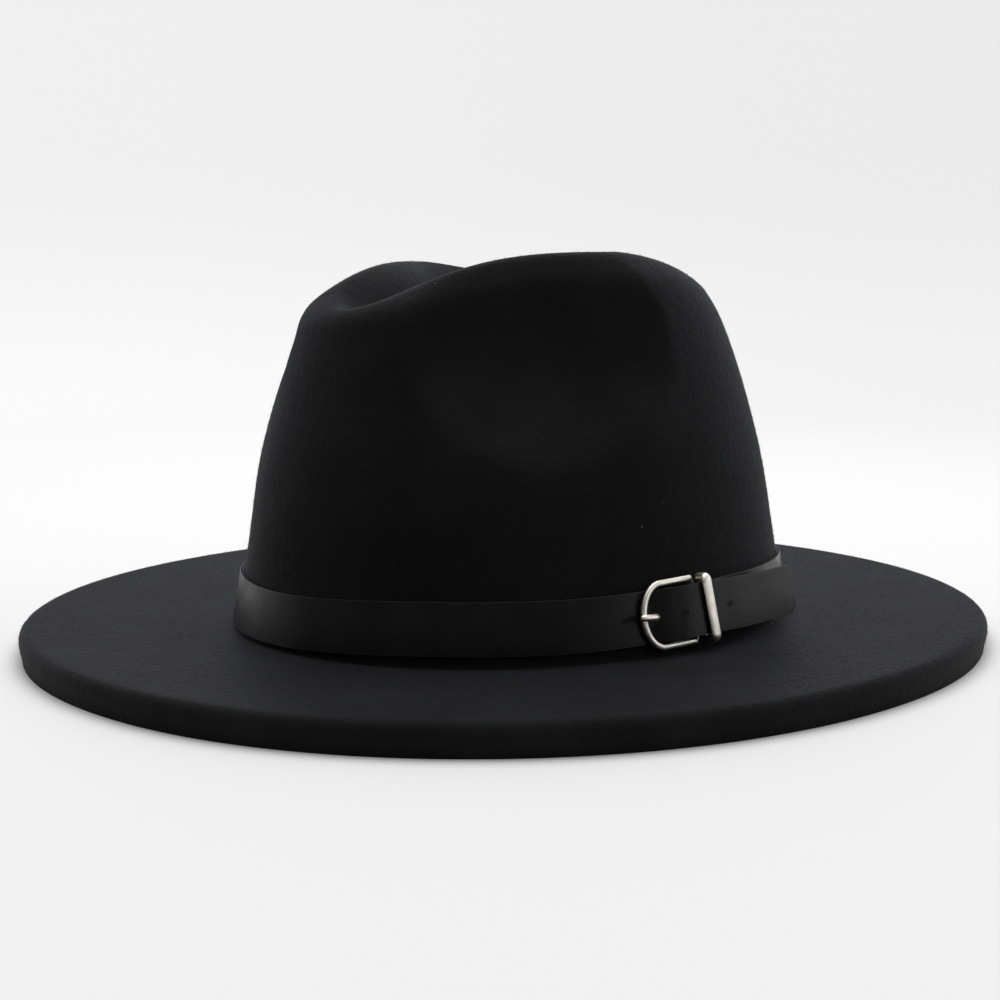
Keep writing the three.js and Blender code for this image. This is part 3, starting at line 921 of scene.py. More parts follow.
@dataclass(frozen=True)
class FeltFinish:
    """Black wool felt: matt, very fine and slightly fuzzy, lighter where it is seen edge on."""

    dark: Colour = grey(0.0095, -0.02)
    light: Colour = grey(0.0125, -0.03)
    lint: Colour = grey(0.16)
    lint_spacing: float = 0.009
    lint_radius: float = 0.032
    lint_share: float = 0.07
    mottle_size: float = 0.03
    press_size: float = 0.003
    press_share: float = 0.28
    fibre_size: float = 0.0009
    fibre_depth: float = 0.00036
    fibre_detail: float = 0.75
    roughness: float = 0.5
    refraction: float = 1.06
    sheen: float = 0.06
    sheen_roughness: float = 0.3
    tint: Colour = (0.93, 0.94, 1.0, 1.0)

    def build(self) -> bpy.types.Material:
        """Builds the felt's material.

        Returns:
            The material.
        """
        material, graph, shader = new_material("black_felt")
        where = graph.add("ShaderNodeTexCoord").outputs["Object"]
        cloud = use_group(graph, mottle_group(), {"Vector": where, "Size": self.mottle_size})
        lint = use_group(graph, lint_group(), {
            "Vector": where, "Spacing": self.lint_spacing, "Radius": self.lint_radius,
            "Share": self.lint_share,
        })
        pressed = use_group(graph, mottle_group(), {"Vector": where, "Size": self.press_size})
        fibres = use_group(graph, grain_group(), {
            "Vector": where, "Size": self.fibre_size, "Depth": self.fibre_depth,
            "Roughness": self.fibre_detail,
            "Height": graph.math("MULTIPLY", pressed.outputs["Mask"], self.press_share),
        })
        wool = graph.mix(cloud.outputs["Mask"], self.dark, self.light)
        colour = graph.mix(lint.outputs["Mask"], wool, self.lint)
        graph.tree.links.new(colour, shader.inputs["Base Color"])
        graph.tree.links.new(fibres.outputs["Normal"], shader.inputs["Normal"])
        shader.inputs["Roughness"].default_value = self.roughness
        shader.inputs["IOR"].default_value = self.refraction
        shader.inputs["Sheen Weight"].default_value = self.sheen
        shader.inputs["Sheen Roughness"].default_value = self.sheen_roughness
        shader.inputs["Sheen Tint"].default_value = self.tint
        shader.inputs["Specular Tint"].default_value = self.tint
        return material


@dataclass(frozen=True)
class NapFinish:
    """Loose wool fibres: dark, with a low gloss that catches light from behind."""

    colour: Colour = grey(0.02, -0.08)
    roughness: float = 0.6
    refraction: float = 1.28

    def build(self) -> bpy.types.Material:
        """Builds the fibres' material.

        Returns:
            The material.
        """
        material, _, shader = new_material("black_nap")
        shader.inputs["Base Color"].default_value = self.colour
        shader.inputs["Roughness"].default_value = self.roughness
        shader.inputs["IOR"].default_value = self.refraction
        return material


@dataclass(frozen=True)
class LeatherFinish:
    """Smooth black leather with a low sheen, a fine pebbled grain and paler, rougher cut edges.

    The widths and the cut's depths are in millimetres, and the sizes of the grain in metres.
    """

    half_width: float
    dark: Colour = grey(0.003)
    light: Colour = grey(0.005, 0.03)
    edge: Colour = grey(0.013, 0.06)
    edge_width: float = 0.45
    edge_full: float = 0.1
    cloud_size: float = 0.011
    pore_size: float = 0.0008
    pore_range: tuple[float, float] = (0.2, 0.75)
    pebble_range: tuple[float, float] = (0.35, -0.15)
    grain_size: float = 0.0011
    grain_depth: float = 0.00003
    grain_detail: float = 0.5
    smooth: float = 0.3
    worn: float = 0.4
    specular: float = 0.23
    cut_from: float = 0.36
    cut_to: float = 0.5

    def build(self) -> bpy.types.Material:
        """Builds the leather's material.

        Returns:
            The material, which reads the strip's own flat pattern and its raw rims.
        """
        material, graph, shader = new_material("black_leather")
        flat = graph.add("ShaderNodeAttribute", attribute_name="pattern").outputs["Vector"]
        sides = graph.add("ShaderNodeSeparateXYZ", {"Vector": flat}).outputs
        across, through = sides["Y"], sides["Z"]
        cloud = use_group(graph, mottle_group(), {"Vector": flat, "Size": self.cloud_size})
        pores = graph.add("ShaderNodeTexVoronoi", {"Vector": flat, "Scale": 1 / self.pore_size})
        pebbles = graph.span(pores.outputs["Distance"], *self.pore_range, *self.pebble_range)
        grain = use_group(graph, grain_group(), {
            "Vector": flat, "Size": self.grain_size, "Height": pebbles, "Depth": self.grain_depth,
            "Roughness": self.grain_detail,
        })
        edge_from = (self.half_width - self.edge_width) * MM
        edge_to = (self.half_width - self.edge_full) * MM
        edge = graph.span(graph.math("ABSOLUTE", across), edge_from, edge_to)
        colour = graph.mix(cloud.outputs["Mask"], self.dark, self.light)
        graph.tree.links.new(graph.mix(edge, colour, self.edge), shader.inputs["Base Color"])
        rough = graph.span(cloud.outputs["Mask"], 0.0, 1.0, self.smooth, self.worn)
        depth = graph.math("ABSOLUTE", through)
        cut = graph.span(depth, self.cut_from * MM, self.cut_to * MM, 1.0, 0.0)
        raw = graph.add("ShaderNodeAttribute", attribute_name="raw").outputs["Fac"]
        rough = graph.math("MAXIMUM", graph.math("MAXIMUM", rough, cut), raw)
        graph.tree.links.new(rough, shader.inputs["Roughness"])
        graph.tree.links.new(grain.outputs["Normal"], shader.inputs["Normal"])
        shader.inputs["Specular IOR Level"].default_value = self.specular
        return material


@dataclass(frozen=True)
class NickelFinish:
    """Polished nickel plate with fine rubbing marks and slightly dull patches."""

    bright: Colour = (0.9, 0.86, 0.75, 1.0)
    dull: Colour = (0.82, 0.78, 0.67, 1.0)
    polished: float = 0.34
    rubbed: float = 0.44
    cloud_size: float = 0.003
    mark_size: float = 0.0004
    mark_depth: float = 0.000001
    mark_detail: float = 0.6

    def build(self) -> bpy.types.Material:
        """Builds the nickel's material.

        Returns:
            The material.
        """
        material, graph, shader = new_material("nickel_plate")
        where = graph.add("ShaderNodeTexCoord").outputs["Object"]
        cloud = use_group(graph, mottle_group(), {"Vector": where, "Size": self.cloud_size})
        marks = use_group(graph, grain_group(), {
            "Vector": where, "Size": self.mark_size, "Depth": self.mark_depth,
            "Roughness": self.mark_detail,
        })
        colour = graph.mix(cloud.outputs["Mask"], self.bright, self.dull)
        graph.tree.links.new(colour, shader.inputs["Base Color"])
        rough = graph.span(cloud.outputs["Mask"], 0.0, 1.0, self.polished, self.rubbed)
        graph.tree.links.new(rough, shader.inputs["Roughness"])
        graph.tree.links.new(marks.outputs["Normal"], shader.inputs["Normal"])
        shader.inputs["Metallic"].default_value = 1.0
        return material


@dataclass
class FeltBody:
    """Brim and crown, blocked from one sheet of felt."""

    form: HatForm
    thickness: float = 2.6
    edge_round: float = 0.6
    edge_steps: int = 3
    around: int = 256
    zone_steps: dict[Zone, int] = field(default_factory=lambda: {
        Zone.LIP: 10, Zone.BRIM: 22, Zone.FOOT: 4, Zone.CROWN: 84,
    })
    unevenness: float = 0.3
    unevenness_size: float = 55.0
    unevenness_shifts: tuple[float, float, float] = (0.0, 17.3, 41.9)
    calm_height: float = 36.0
    calm_over: float = 20.0

    def stops(self) -> list[tuple[Zone, float]]:
        """Lists the rings of the sheet, from its lower edge to the middle of the crease."""
        rings = [(zone, k / steps) for zone, steps in self.zone_steps.items() for k in range(steps)]
        return rings + [(Zone.CROWN, 1.0)]

    def uneven(self, point: Vector) -> Vector:
        """Adds the slight unevenness of a hand-shaped crown, above the strap.

        Args:
            point: A point of the smooth crown.

        Returns:
            The point, moved a little each way by a noise that is the same in every run.
        """
        share = smooth_step((point.z - self.calm_height) / self.calm_over)
        spots = [
            point / self.unevenness_size + Vector((shift, 0.0, 0.0))
            for shift in self.unevenness_shifts
        ]
        return point + Vector([noise.noise(spot) for spot in spots]) * (self.unevenness * share)

    def disc_order(self, flat: Vector) -> int:
        """Numbers the places of the flat disc, ring by ring and spoke by spoke in half steps.

        Args:
            flat: A corner of the flat disc or the middle of one of its faces.

        Returns:
            The number, which puts the sheet's parts in the same order in every run.
        """
        ring = round(2 * hypot(flat.x, flat.y))
        spoke = round(atan2(flat.y, flat.x) / pi * self.around)
        return ring * 2 * self.around + spoke % (2 * self.around)

    def sheet(self) -> BMesh:
        """Spins a flat disc and blocks it into the outer face of the felt.

        Returns:
            The face, in millimetres and without thickness.
        """
        stops = self.stops()
        last = len(stops) - 1
        bm = bmesh.new()
        spokes = [bm.verts.new((float(last - k), 0.0, 0.0)) for k in range(last + 1)]
        edges = [bm.edges.new(pair) for pair in zip(spokes, spokes[1:])]
        bmesh.ops.spin(
            bm, geom=spokes + edges, cent=(0, 0, 0), axis=(0, 0, 1), dvec=(0, 0, 0),
            angle=2 * pi, steps=self.around, use_merge=True, use_duplicate=False,
        )
        bmesh.ops.remove_doubles(bm, verts=bm.verts, dist=SAME_POINT)
        bm.verts.sort(key=lambda vert: self.disc_order(vert.co))
        bm.faces.sort(key=lambda face: self.disc_order(face.calc_center_median()))
        for vert in bm.verts:
            zone, share = stops[last - round(hypot(vert.co.x, vert.co.y))]
            spoke = round(atan2(vert.co.y, vert.co.x) / (2 * pi) * self.around)
            theta = 2 * pi * spoke / self.around
            vert.co = self.uneven(self.form.outer_point(theta, zone, share))
        bmesh.ops.recalc_face_normals(bm, faces=bm.faces)
        top = max(bm.faces, key=lambda face: face.calc_center_median().z)
        if top.normal.z < 0:
            bmesh.ops.reverse_faces(bm, faces=bm.faces)
        return bm

    def build(self, material: bpy.types.Material) -> bpy.types.Object:
        """Builds the felt with its thickness and softly rounded lower edge.

        Args:
            material: The felt's finish.

        Returns:
            The piece.
        """
        piece = finish_piece(self.sheet(), "felt_hat", "felt_body", material)
        wall = piece.modifiers.new("wall", "SOLIDIFY")
        wall.thickness = self.thickness * MM
        wall.offset = -1.0
        wall.use_even_offset = True
        wall.use_quality_normals = True
        rounding = piece.modifiers.new("edge", "BEVEL")
        rounding.width = self.edge_round * MM
        rounding.segments = self.edge_steps
        rounding.limit_method = "ANGLE"
        rounding.angle_limit = SHARP_ANGLE
        return piece


class Patch(NamedTuple):
    """A face of the felt that fibres grow on, with its corners in a fixed order and its area."""

    face: BMFace
    corners: list[Vector]
    area: float


@dataclass
class FeltNap:
    """The short fibres that stand off the felt: slender closed spikes rooted in its outer face."""

    felt: FeltBody
    seeds: int = 5
    doublings: int = 13
    pitch: float = 4.0
    shortest: float = 0.7
    longest: float = 1.8
    root_radius: float = 0.05
    sunk: float = 0.15
    upright: float = 0.55
    bare_height: float = 1.8
    covered_height: float = 30.0
    covered_reach: float = 108.0
    seed: int = 5

    def spikes(self) -> BMesh:
        """Draws a row of equal spikes along X by doubling a few of them.

        Returns:
            The row, whose spikes are one unit high.
        """
        bm = bmesh.new()
        for k in range(self.seeds):
            bmesh.ops.create_cone(
                bm, cap_ends=True, segments=3, radius1=1.0, radius2=0.0, depth=1.0,
                matrix=Matrix.Translation((k * self.pitch, 0.0, 0.5)),
            )
        bmesh.ops.remove_doubles(bm, verts=bm.verts, dist=SAME_POINT)
        count = self.seeds
        for _ in range(self.doublings):
            made = bmesh.ops.duplicate(bm, geom=bm.verts[:] + bm.edges[:] + bm.faces[:])["geom"]
            verts = [item for item in made if isinstance(item, BMVert)]
            bmesh.ops.translate(bm, vec=(count * self.pitch, 0.0, 0.0), verts=verts)
            count *= 2
        return bm

    def open_patches(self, sheet: BMesh) -> list[Patch]:
        """Lists the faces of the felt that the strap leaves open.

        Args:
            sheet: The felt's outer face.

        Returns:
            The faces, each from the same corner in every run.
        """
        sheet.verts.index_update()
        patches = []
        for face in sheet.faces:
            middle = face.calc_center_median()
            near_crown = hypot(middle.x, middle.y) < self.covered_reach
            under_strap = near_crown and middle.z < self.covered_height
            if under_strap or middle.z <= self.bare_height:
                continue
            verts = list(face.verts)
            first = verts.index(min(verts, key=lambda vert: vert.index))
            corners = [vert.co for vert in verts[first:] + verts[:first]]
            area = (corners[2] - corners[0]).cross(corners[-1] - corners[1]).length / 2
            patches.append(Patch(face, corners, area))
        return patches

    def roots(self, count: int) -> list[Matrix]:
        """Scatters the fibres' roots evenly over the felt that the strap leaves open.

        Args:
            count: How many roots to find.

        Returns:
            The matrices that put a unit spike at each root.
        """
        chance = random.Random(self.seed)
        sheet = self.felt.sheet()
        patches = self.open_patches(sheet)
        areas = list(accumulate(patch.area for patch in patches))
        found = []
        for face, corners, _ in chance.choices(patches, cum_weights=areas, k=count):
            near = corners[0].lerp(corners[1], chance.random())
            far = corners[-1].lerp(corners[2], chance.random())
            turned = Vector([chance.gauss(0, 1) for _ in range(3)]).normalized()
            across = turned.cross(face.normal).normalized()
            heading = (face.normal * self.upright + face.normal.cross(across)).normalized()
            length = chance.uniform(self.shortest, self.longest)
            root = near.lerp(far, chance.random()) - face.normal * self.sunk
            matrix = place(root, across, heading.cross(across), self.root_radius, self.root_radius)
            matrix.col[2] = (heading * length).to_4d()
            matrix[3][2] = 0.0
            found.append(matrix)
        sheet.free()
        return found

    def build(self, material: bpy.types.Material) -> bpy.types.Object:
        """Builds the fibres.

        Args:
            material: The fibres' finish.

        Returns:
            The piece.
        """
        bm = self.spikes()
        matrices = self.roots(self.seeds * 2 ** self.doublings)
        for vert in bm.verts:
            k = round(vert.co.x / self.pitch)
            vert.co = matrices[k] @ (vert.co - Vector((k * self.pitch, 0.0, 0.0)))
        bmesh.ops.recalc_face_normals(bm, faces=bm.faces)
        return finish_piece(bm, "felt_nap", None, material)


class Hole(NamedTuple):
    """A hole through the strap: its distance from the bar, half sizes and the patch it is cut in."""

    from_bar: float
    half_length: float
    half_width: float
    patch_columns: int
    patch_rows: int


@dataclass
class HatStrap:
    """The leather strap: cut flat, punched, and then bent round the bar and the hat."""

    path: StrapPath
    first_hole: float = -26.4
    hole_pitch: float = 9.9
    hole_radius: float = 0.95
    prong_hole: int = 1
    prong_hole_length: float = 1.8
    prong_hole_width: float = 1.15
    holes: int = 5
    rows: int = 16
    hole_column: float = 1.1
    column: float = 1.6
    fold_column: float = 0.45
    end_radius: float = 5.0
    end_steps: int = 6
    slot_rows: int = 2
    slot_half_width: float = 1.5
    slot_ease: float = 1.0
    fold_margin: float = 0.6
    edge_round: float = 0.13
    edge_steps: int = 2

    def cut_holes(self) -> list[Hole]:
        """Lists the holes; the one that holds the prong is drawn long.

        Returns:
            The holes, from the one nearest the buckle's arch to the free end.
        """
        rows = [
            Hole(self.first_hole + k * self.hole_pitch, self.hole_radius, self.hole_radius, 2, 2)
            for k in range(self.holes)
        ]
        drawn = rows[self.prong_hole]
        rows[self.prong_hole] = Hole(
            drawn.from_bar, self.prong_hole_length, self.prong_hole_width, 3, 2
        )
        return rows

    def columns(
        self, wrap: StrapWrap, holes: Sequence[Hole], fold: tuple[float, float]
    ) -> list[float]:
        """Lists the places of the strip's cross lines, close together where it is shaped.

        Args:
            wrap: The path, to measure along.
            holes: The holes to leave room for.
            fold: Where the fold round the bar starts and ends.

        Returns:
            The distances along the strip.
        """
        places: list[float] = [0.0]

        def fill(to: float, step: float) -> None:
            """Adds evenly spaced lines up to a place.

            Args:
                to: The place of the last line.
                step: About how far apart the lines are.
            """
            count = max(round((to - places[-1]) / step), 1)
            start = places[-1]
            places.extend(start + (to - start) * k / count for k in range(1, count + 1))

        fill(fold[0], self.column)
        fill(fold[1], self.fold_column)
        for hole in holes:
            centre = wrap.place_of(hole.from_bar)
            fill(centre - hole.patch_columns * self.hole_column, self.column)
            fill(centre + hole.patch_columns * self.hole_column, self.hole_column)
        fill(wrap.length - self.end_radius, self.column)
        start = places[-1]
        turns = [pi / 2 * k / self.end_steps for k in range(1, self.end_steps + 1)]
        places.extend(start + self.end_radius * sin(turn) for turn in turns)
        return places

    def punch(self, bm: BMesh, centre: float, hole: Hole) -> None:
        """Cuts one hole: a patch of the strip is taken out and joined to a round edge.

        Args:
            bm: The strip.
            centre: Where along the strip the hole lies.
            hole: The hole.
        """
        half_length = (hole.patch_columns - 0.5) * self.hole_column + SAME_POINT
        half_width = (hole.patch_rows - 0.5) * self.path.width / self.rows + SAME_POINT
        middles = ((face, face.calc_center_median()) for face in bm.faces)
        patch = [
            face for face, middle in middles
            if abs(middle.x - centre) < half_length and abs(middle.y) < half_width
        ]
        around = edges_of(patch)
        rim = [edge for edge in around if sum(face in patch for face in edge.link_faces) == 1]
        bmesh.ops.delete(bm, geom=patch, context="FACES_ONLY")
        loose = [edge for edge in bm.edges if not edge.link_faces and edge not in rim]
        bmesh.ops.delete(bm, geom=loose, context="EDGES")
        stretched = Matrix.Diagonal((hole.half_length, hole.half_width, 1, 1))
        placed = Matrix.Translation((centre, 0, 0)) @ stretched
        circle = bmesh.ops.create_circle(bm, segments=len(rim), radius=1.0, matrix=placed)["verts"]
        raw = bm.verts.layers.float["raw"]
        for vert in circle:
            vert[raw] = 1.0
        bmesh.ops.bridge_loops(bm, edges=rim + edges_of(circle))

    def flat_strip(self, wrap: StrapWrap, fold: tuple[float, float]) -> BMesh:
        """Cuts and punches the flat strip, gives it its thickness and rounds its edges.

        Args:
            wrap: The path, to measure along.
            fold: Where the fold round the bar starts and ends.

        Returns:
            The strip, lying flat along X.
        """
        holes = self.cut_holes()
        places = self.columns(wrap, holes, fold)
        bm = bmesh.new()
        bm.verts.layers.float.new("raw")
        bmesh.ops.create_grid(bm, x_segments=len(places) - 1, y_segments=self.rows, size=1.0)
        rounded_from = wrap.length - self.end_radius
        for vert in bm.verts:
            x = places[round((vert.co.x + 1) / 2 * (len(places) - 1))]
            past = max(x - rounded_from, 0.0)
            drawn_in = self.end_radius - sqrt(max(self.end_radius ** 2 - past ** 2, 0.0))
            vert.co = Vector((x, vert.co.y * (self.path.width / 2 - drawn_in), 0.0))
        for hole in holes:
            self.punch(bm, wrap.place_of(hole.from_bar), hole)
        self.slot_fold(bm, fold)
        bmesh.ops.recalc_face_normals(bm, faces=bm.faces)
        bmesh.ops.solidify(bm, geom=bm.faces, thickness=self.path.thickness)
        lowest = min(vert.co.z for vert in bm.verts)
        bmesh.ops.translate(bm, vec=(0, 0, -lowest - self.path.thickness / 2), verts=bm.verts)
        bmesh.ops.recalc_face_normals(bm, faces=bm.faces)
        joined = (edge for edge in bm.edges if len(edge.link_faces) == 2)
        sharp = [edge for edge in joined if edge.calc_face_angle() > SHARP_ANGLE]
        bmesh.ops.bevel(
            bm, geom=sharp, offset=self.edge_round, offset_type="OFFSET",
            segments=self.edge_steps, profile=0.5, affect="EDGES", clamp_overlap=True, material=-1,
        )
        return bm

    def slot_fold(self, bm: BMesh, fold: tuple[float, float]) -> None:
        """Opens the slot in the fold that the prong's eye sits in.

        Args:
            bm: The strip.
            fold: Where the fold round the bar starts and ends.
        """
        edge_line = self.slot_rows * self.path.width / self.rows
        middles = ((face, face.calc_center_median()) for face in bm.faces)
        inside = [
            face for face, middle in middles
            if fold[0] < middle.x < fold[1] and abs(middle.y) < edge_line
        ]
        bmesh.ops.delete(bm, geom=inside, context="FACES")
        start, end = fold[0] - self.slot_ease, fold[1] + self.slot_ease
        for vert in bm.verts:
            on_line = abs(abs(vert.co.y) - edge_line) < SAME_POINT
            if on_line and start < vert.co.x < end:
                vert.co.y *= self.slot_half_width / abs(vert.co.y)

    def build(self, material: bpy.types.Material) -> bpy.types.Object:
        """Builds the strap and wraps it round the hat.

        Args:
            material: The leather's finish.

        Returns:
            The piece.
        """
        wrap = StrapWrap(self.path.stations())
        start, end = wrap.stretch_ends(Stretch.FOLD)
        fold = (start - self.fold_margin, end + self.fold_margin)
        bm = self.flat_strip(wrap, fold)
        pattern = bm.verts.layers.float_vector.new("pattern")
        for vert in bm.verts:
            vert[pattern] = vert.co * MM
            vert.co = wrap.bent(vert.co)
        bmesh.ops.recalc_face_normals(bm, faces=bm.faces)
        piece = finish_piece(bm, "hat_strap", "strap", material)
        shading = piece.modifiers.new("shading", "WEIGHTED_NORMAL")
        shading.mode = "FACE_AREA"
        shading.keep_sharp = True
        return piece


@dataclass
class BuckleFrame:
    """The horseshoe frame: one wire, wide round the arch and arms, thin as the bar."""

    path: StrapPath
    height: float = 20.0
    arch_length: float = 7.6
    corner_radius: float = 1.1
    wire_width: float = 2.0
    wire_depth: float = 1.7
    bar_half: float = 0.38
    arch_steps: int = 40
    corner_steps: int = 8
    arm_steps: int = 8
    sides: int = 20
    squareness: float = 0.85

    def outline(self) -> list[tuple[float, float]]:
        """Lists the frame's centre line in its plane, from the top of the bar round the arch.

        Returns:
            The points as pairs of along and up.
        """
        half = self.height / 2
        radius = self.corner_radius
        start = self.arch_length - self.path.buckle_length
        points = []
        for k in range(self.corner_steps):
            turn = pi / 2 * k / self.corner_steps
            points.append((radius * (cos(turn) - 1), half - radius + radius * sin(turn)))
        for k in range(self.arm_steps):
            points.append((-radius + (start + radius) * k / self.arm_steps, half))
        for k in range(self.arch_steps):
            turn = pi / 2 + pi * k / self.arch_steps
            points.append((start + self.arch_length * cos(turn), half * sin(turn)))
        for k in range(self.arm_steps):
            points.append((start + (-radius - start) * k / self.arm_steps, -half))
        for k in range(self.corner_steps + 1):
            turn = -pi / 2 + pi / 2 * k / self.corner_steps
            points.append((radius * (cos(turn) - 1), -half + radius + radius * sin(turn)))
        return points

    def build(self, material: bpy.types.Material) -> bpy.types.Object:
        """Builds the frame.

        Args:
            material: The metal's finish.

        Returns:
            The piece.
        """
        points = self.outline()
        count = len(points)
        places = []
        for k, (along, up) in enumerate(points):
            before, after = points[k - 1], points[(k + 1) % count]
            heading = Vector((after[0] - before[0], after[1] - before[1])).normalized()
            across = self.path.along * heading.y - self.path.up * heading.x
            share = smooth_step(-along / self.corner_radius)
            width = self.bar_half + (self.wire_width / 2 - self.bar_half) * share
            depth = self.bar_half + (self.wire_depth / 2 - self.bar_half) * share
            centre = self.path.on_buckle(along, up, 0.0)
            places.append(place(centre, across, self.path.outward, width, depth))
        bm = bmesh.new()
        sweep(bm, places, self.sides, True, rounded(self.squareness))
        return finish_piece(bm, "horseshoe_frame", "buckle_frame", material)


def rounded(power: float) -> Callable[[Vector], Vector]:
    """Makes a section shape between a circle and a square.

    Args:
        power: 1 for a circle, and squarer towards 0.

    Returns:
        The shape, which turns a point of the unit circle into the section's own point.
    """

    def shape(point: Vector) -> Vector:
        """Moves a point of the unit circle outwards at the corners.

        Args:
            point: The point of the circle.

        Returns:
            The section's own point.
        """
        x = abs(point.x) ** power * (1 if point.x > 0 else -1)
        y = abs(point.y) ** power * (1 if point.y > 0 else -1)
        return Vector((x, y, 0.0))

    return shape


class ProngKnot(NamedTuple):
    """A point of the prong's centre line in the buckle's plane."""

    along: float
    off: float


@dataclass
class BuckleProng:
    """The prong: a wire curled round the bar that passes through the strap onto the arch."""

    path: StrapPath
    radius: float = 0.8
    bend_radius: float = 1.25
    tip_radius: float = 1.05
    bend_at: float = -16.2
    bend_lowered: float = 0.35
    tip_raised: float = 0.85
    curl_radius: float = 1.325
    curl_wall: float = 0.375
    curl_width: float = 0.9
    curl_from: float = -130.0
    curl_to: float = 90.0
    curl_steps: int = 14
    curl_fade: float = 4.0
    bend_over: float = 2.5
    chain_steps: int = 4
    tip_steps: int = 6
    sides: int = 20
    knots: tuple[ProngKnot, ...] = (
        ProngKnot(-1.9, 1.0), ProngKnot(-3.4, 0.4), ProngKnot(-5.2, -0.2), ProngKnot(-9.0, -0.75),
        ProngKnot(-12.8, -0.95), ProngKnot(-15.1, -0.95), ProngKnot(-16.2, -0.4),
        ProngKnot(-17.0, 0.6), ProngKnot(-18.2, 1.35), ProngKnot(-21.6, 1.95), ProngKnot(-23.3, 1.85),
    )

    def build(self, material: bpy.types.Material) -> bpy.types.Object:
        """Builds the prong with its curl and rounded tip.

        Args:
            material: The metal's finish.

        Returns:
            The piece.
        """
        turns = [
            radians(self.curl_from + (self.curl_to - self.curl_from) * k / self.curl_steps)
            for k in range(self.curl_steps + 1)
        ]
        curl = [Vector((cos(turn), 0.0, sin(turn))) * self.curl_radius for turn in turns]
        run = [Vector((knot.along, 0.0, knot.off)) for knot in self.knots]
        points = smooth_chain(curl + run, self.chain_steps)
        last = len(points) - 1
        reach = [0.0]
        for here, there in zip(points, points[1:]):
            reach.append(reach[-1] + (there - here).length)
        curl_end = reach[self.chain_steps * self.curl_steps]
        places = []
        for k, point in enumerate(points):
            heading = (points[min(k + 1, last)] - points[max(k - 1, 0)]).normalized()
            tangent = self.path.along * heading.x + self.path.outward * heading.z
            off = tangent.cross(self.path.up).normalized()
            share = smooth_step((reach[k] - curl_end) / self.curl_fade)
            past = min(max((self.bend_at - point.x) / (self.bend_at - points[-1].x), 0.0), 1.0)
            swell = smooth_step(1 - (point.x - self.bend_at) / self.bend_over)
            thick = self.bend_radius + (self.tip_radius - self.bend_radius) * past
            slim = self.radius + (thick - self.radius) * swell
            half_width = self.curl_width + (slim - self.curl_width) * share
            half_depth = self.curl_wall + (slim - self.curl_wall) * share
            raised = self.tip_raised * past - self.bend_lowered * swell
            centre = self.path.on_buckle(point.x, raised, point.z)
            places.append(place(centre, self.path.up, off, half_width, half_depth))
        for k in range(1, self.tip_steps):
            turn = pi / 2 * k / self.tip_steps
            tip = points[-1] + heading * (self.tip_radius * sin(turn))
            centre = self.path.on_buckle(tip.x, raised, tip.z)
            narrowed = cos(turn)
            places.append(
                place(centre, self.path.up, off, half_width * narrowed, half_depth * narrowed)
            )
        bm = bmesh.new()
        sweep(bm, places, self.sides, False)
        return finish_piece(bm, "prong", "buckle_prong", material)


@dataclass
class StrapKeeper:
    """The fixed loop beside the bar: a domed band bent round both runs of the strap."""

    path: StrapPath
    from_bar: float = 2.9
    width: float = 4.0
    inner_width: float = 3.0
    inner_shift: float = 0.9
    wall: float = 0.8
    end_wall: float = 1.7
    dome: float = 0.35
    corner_radius: float = 1.3
    play: float = 0.6
    tilt: float = 7.0
    squareness: float = 0.6
    corner_steps: int = 8
    sides: int = 28

    def outline(self) -> list[tuple[float, float, float]]:
        """Lists the loop's centre line.

        Returns:
            Each point as up, off and the angle that the band's outer face looks in.
        """
        path = self.path
        half = path.width / 2 + self.play + self.wall / 2
        inside = path.lying + (path.thickness + self.wall + self.dome) / 2 + path.gap
        outside = path.free_at_bar + path.thickness / 2 + self.play + self.wall / 2
        radius = self.corner_radius
        points: list[tuple[float, float, float]] = []
        corners = ((half, outside), (-half, outside), (-half, inside), (half, inside))
        for turn, (up, off) in enumerate(corners):
            middle_up = up - radius * (1 if up > 0 else -1)
            middle_off = off + radius * (-1 if off == outside else 1)
            for k in range(self.corner_steps + 1):
                angle = pi / 2 * (turn + k / self.corner_steps)
                corner = (middle_up + radius * cos(angle), middle_off + radius * sin(angle))
                points.append((*corner, angle))
        return points

    def domed(self, point: Vector) -> Vector:
        """Shapes the band's section: flat inside, domed outside, with rounded edges.

        Args:
            point: A point of the unit circle.

        Returns:
            The section's point, in halves of the band's width and wall.
        """
        boxy = rounded(self.squareness)(point)
        crown = 2 * self.dome / self.wall * (1 - boxy.x ** 2)
        return Vector((boxy.x, boxy.y + (crown if boxy.y > 0 else 0.0), 0.0))

    def build(self, material: bpy.types.Material) -> bpy.types.Object:
        """Builds the keeper.

        Args:
            material: The metal's finish.

        Returns:
            The piece.
        """
        at = self.path.wall_frame(self.path.turn_from_bar(self.from_bar))
        turned = Matrix.Rotation(radians(self.tilt), 3, at.outward)
        lean, tangent = turned @ at.lean, turned @ at.tangent
        places = []
        for up, off, angle in self.outline():
            facing = lean * cos(angle) + at.outward * sin(angle)
            wall = self.wall + (self.end_wall - self.wall) * cos(angle) ** 2
            hidden = (1 - sin(angle)) / 2
            width = self.width + (self.inner_width - self.width) * hidden
            moved = facing * ((wall - self.wall) / 2) + tangent * (self.inner_shift * hidden)
            centre = at.middle + lean * up + at.outward * off + moved
            places.append(place(centre, tangent, facing, width / 2, wall / 2))
        bm = bmesh.new()
        sweep(bm, places, self.sides, True, self.domed)
        return finish_piece(bm, "keeper", "strap_keeper", material)


@dataclass
class SoftBox:
    """One soft light: where it hangs, what it points at, its size and its power."""

    name: str
    at: tuple[float, float, float]
    aim: tuple[float, float, float]
    size: float
    power: float


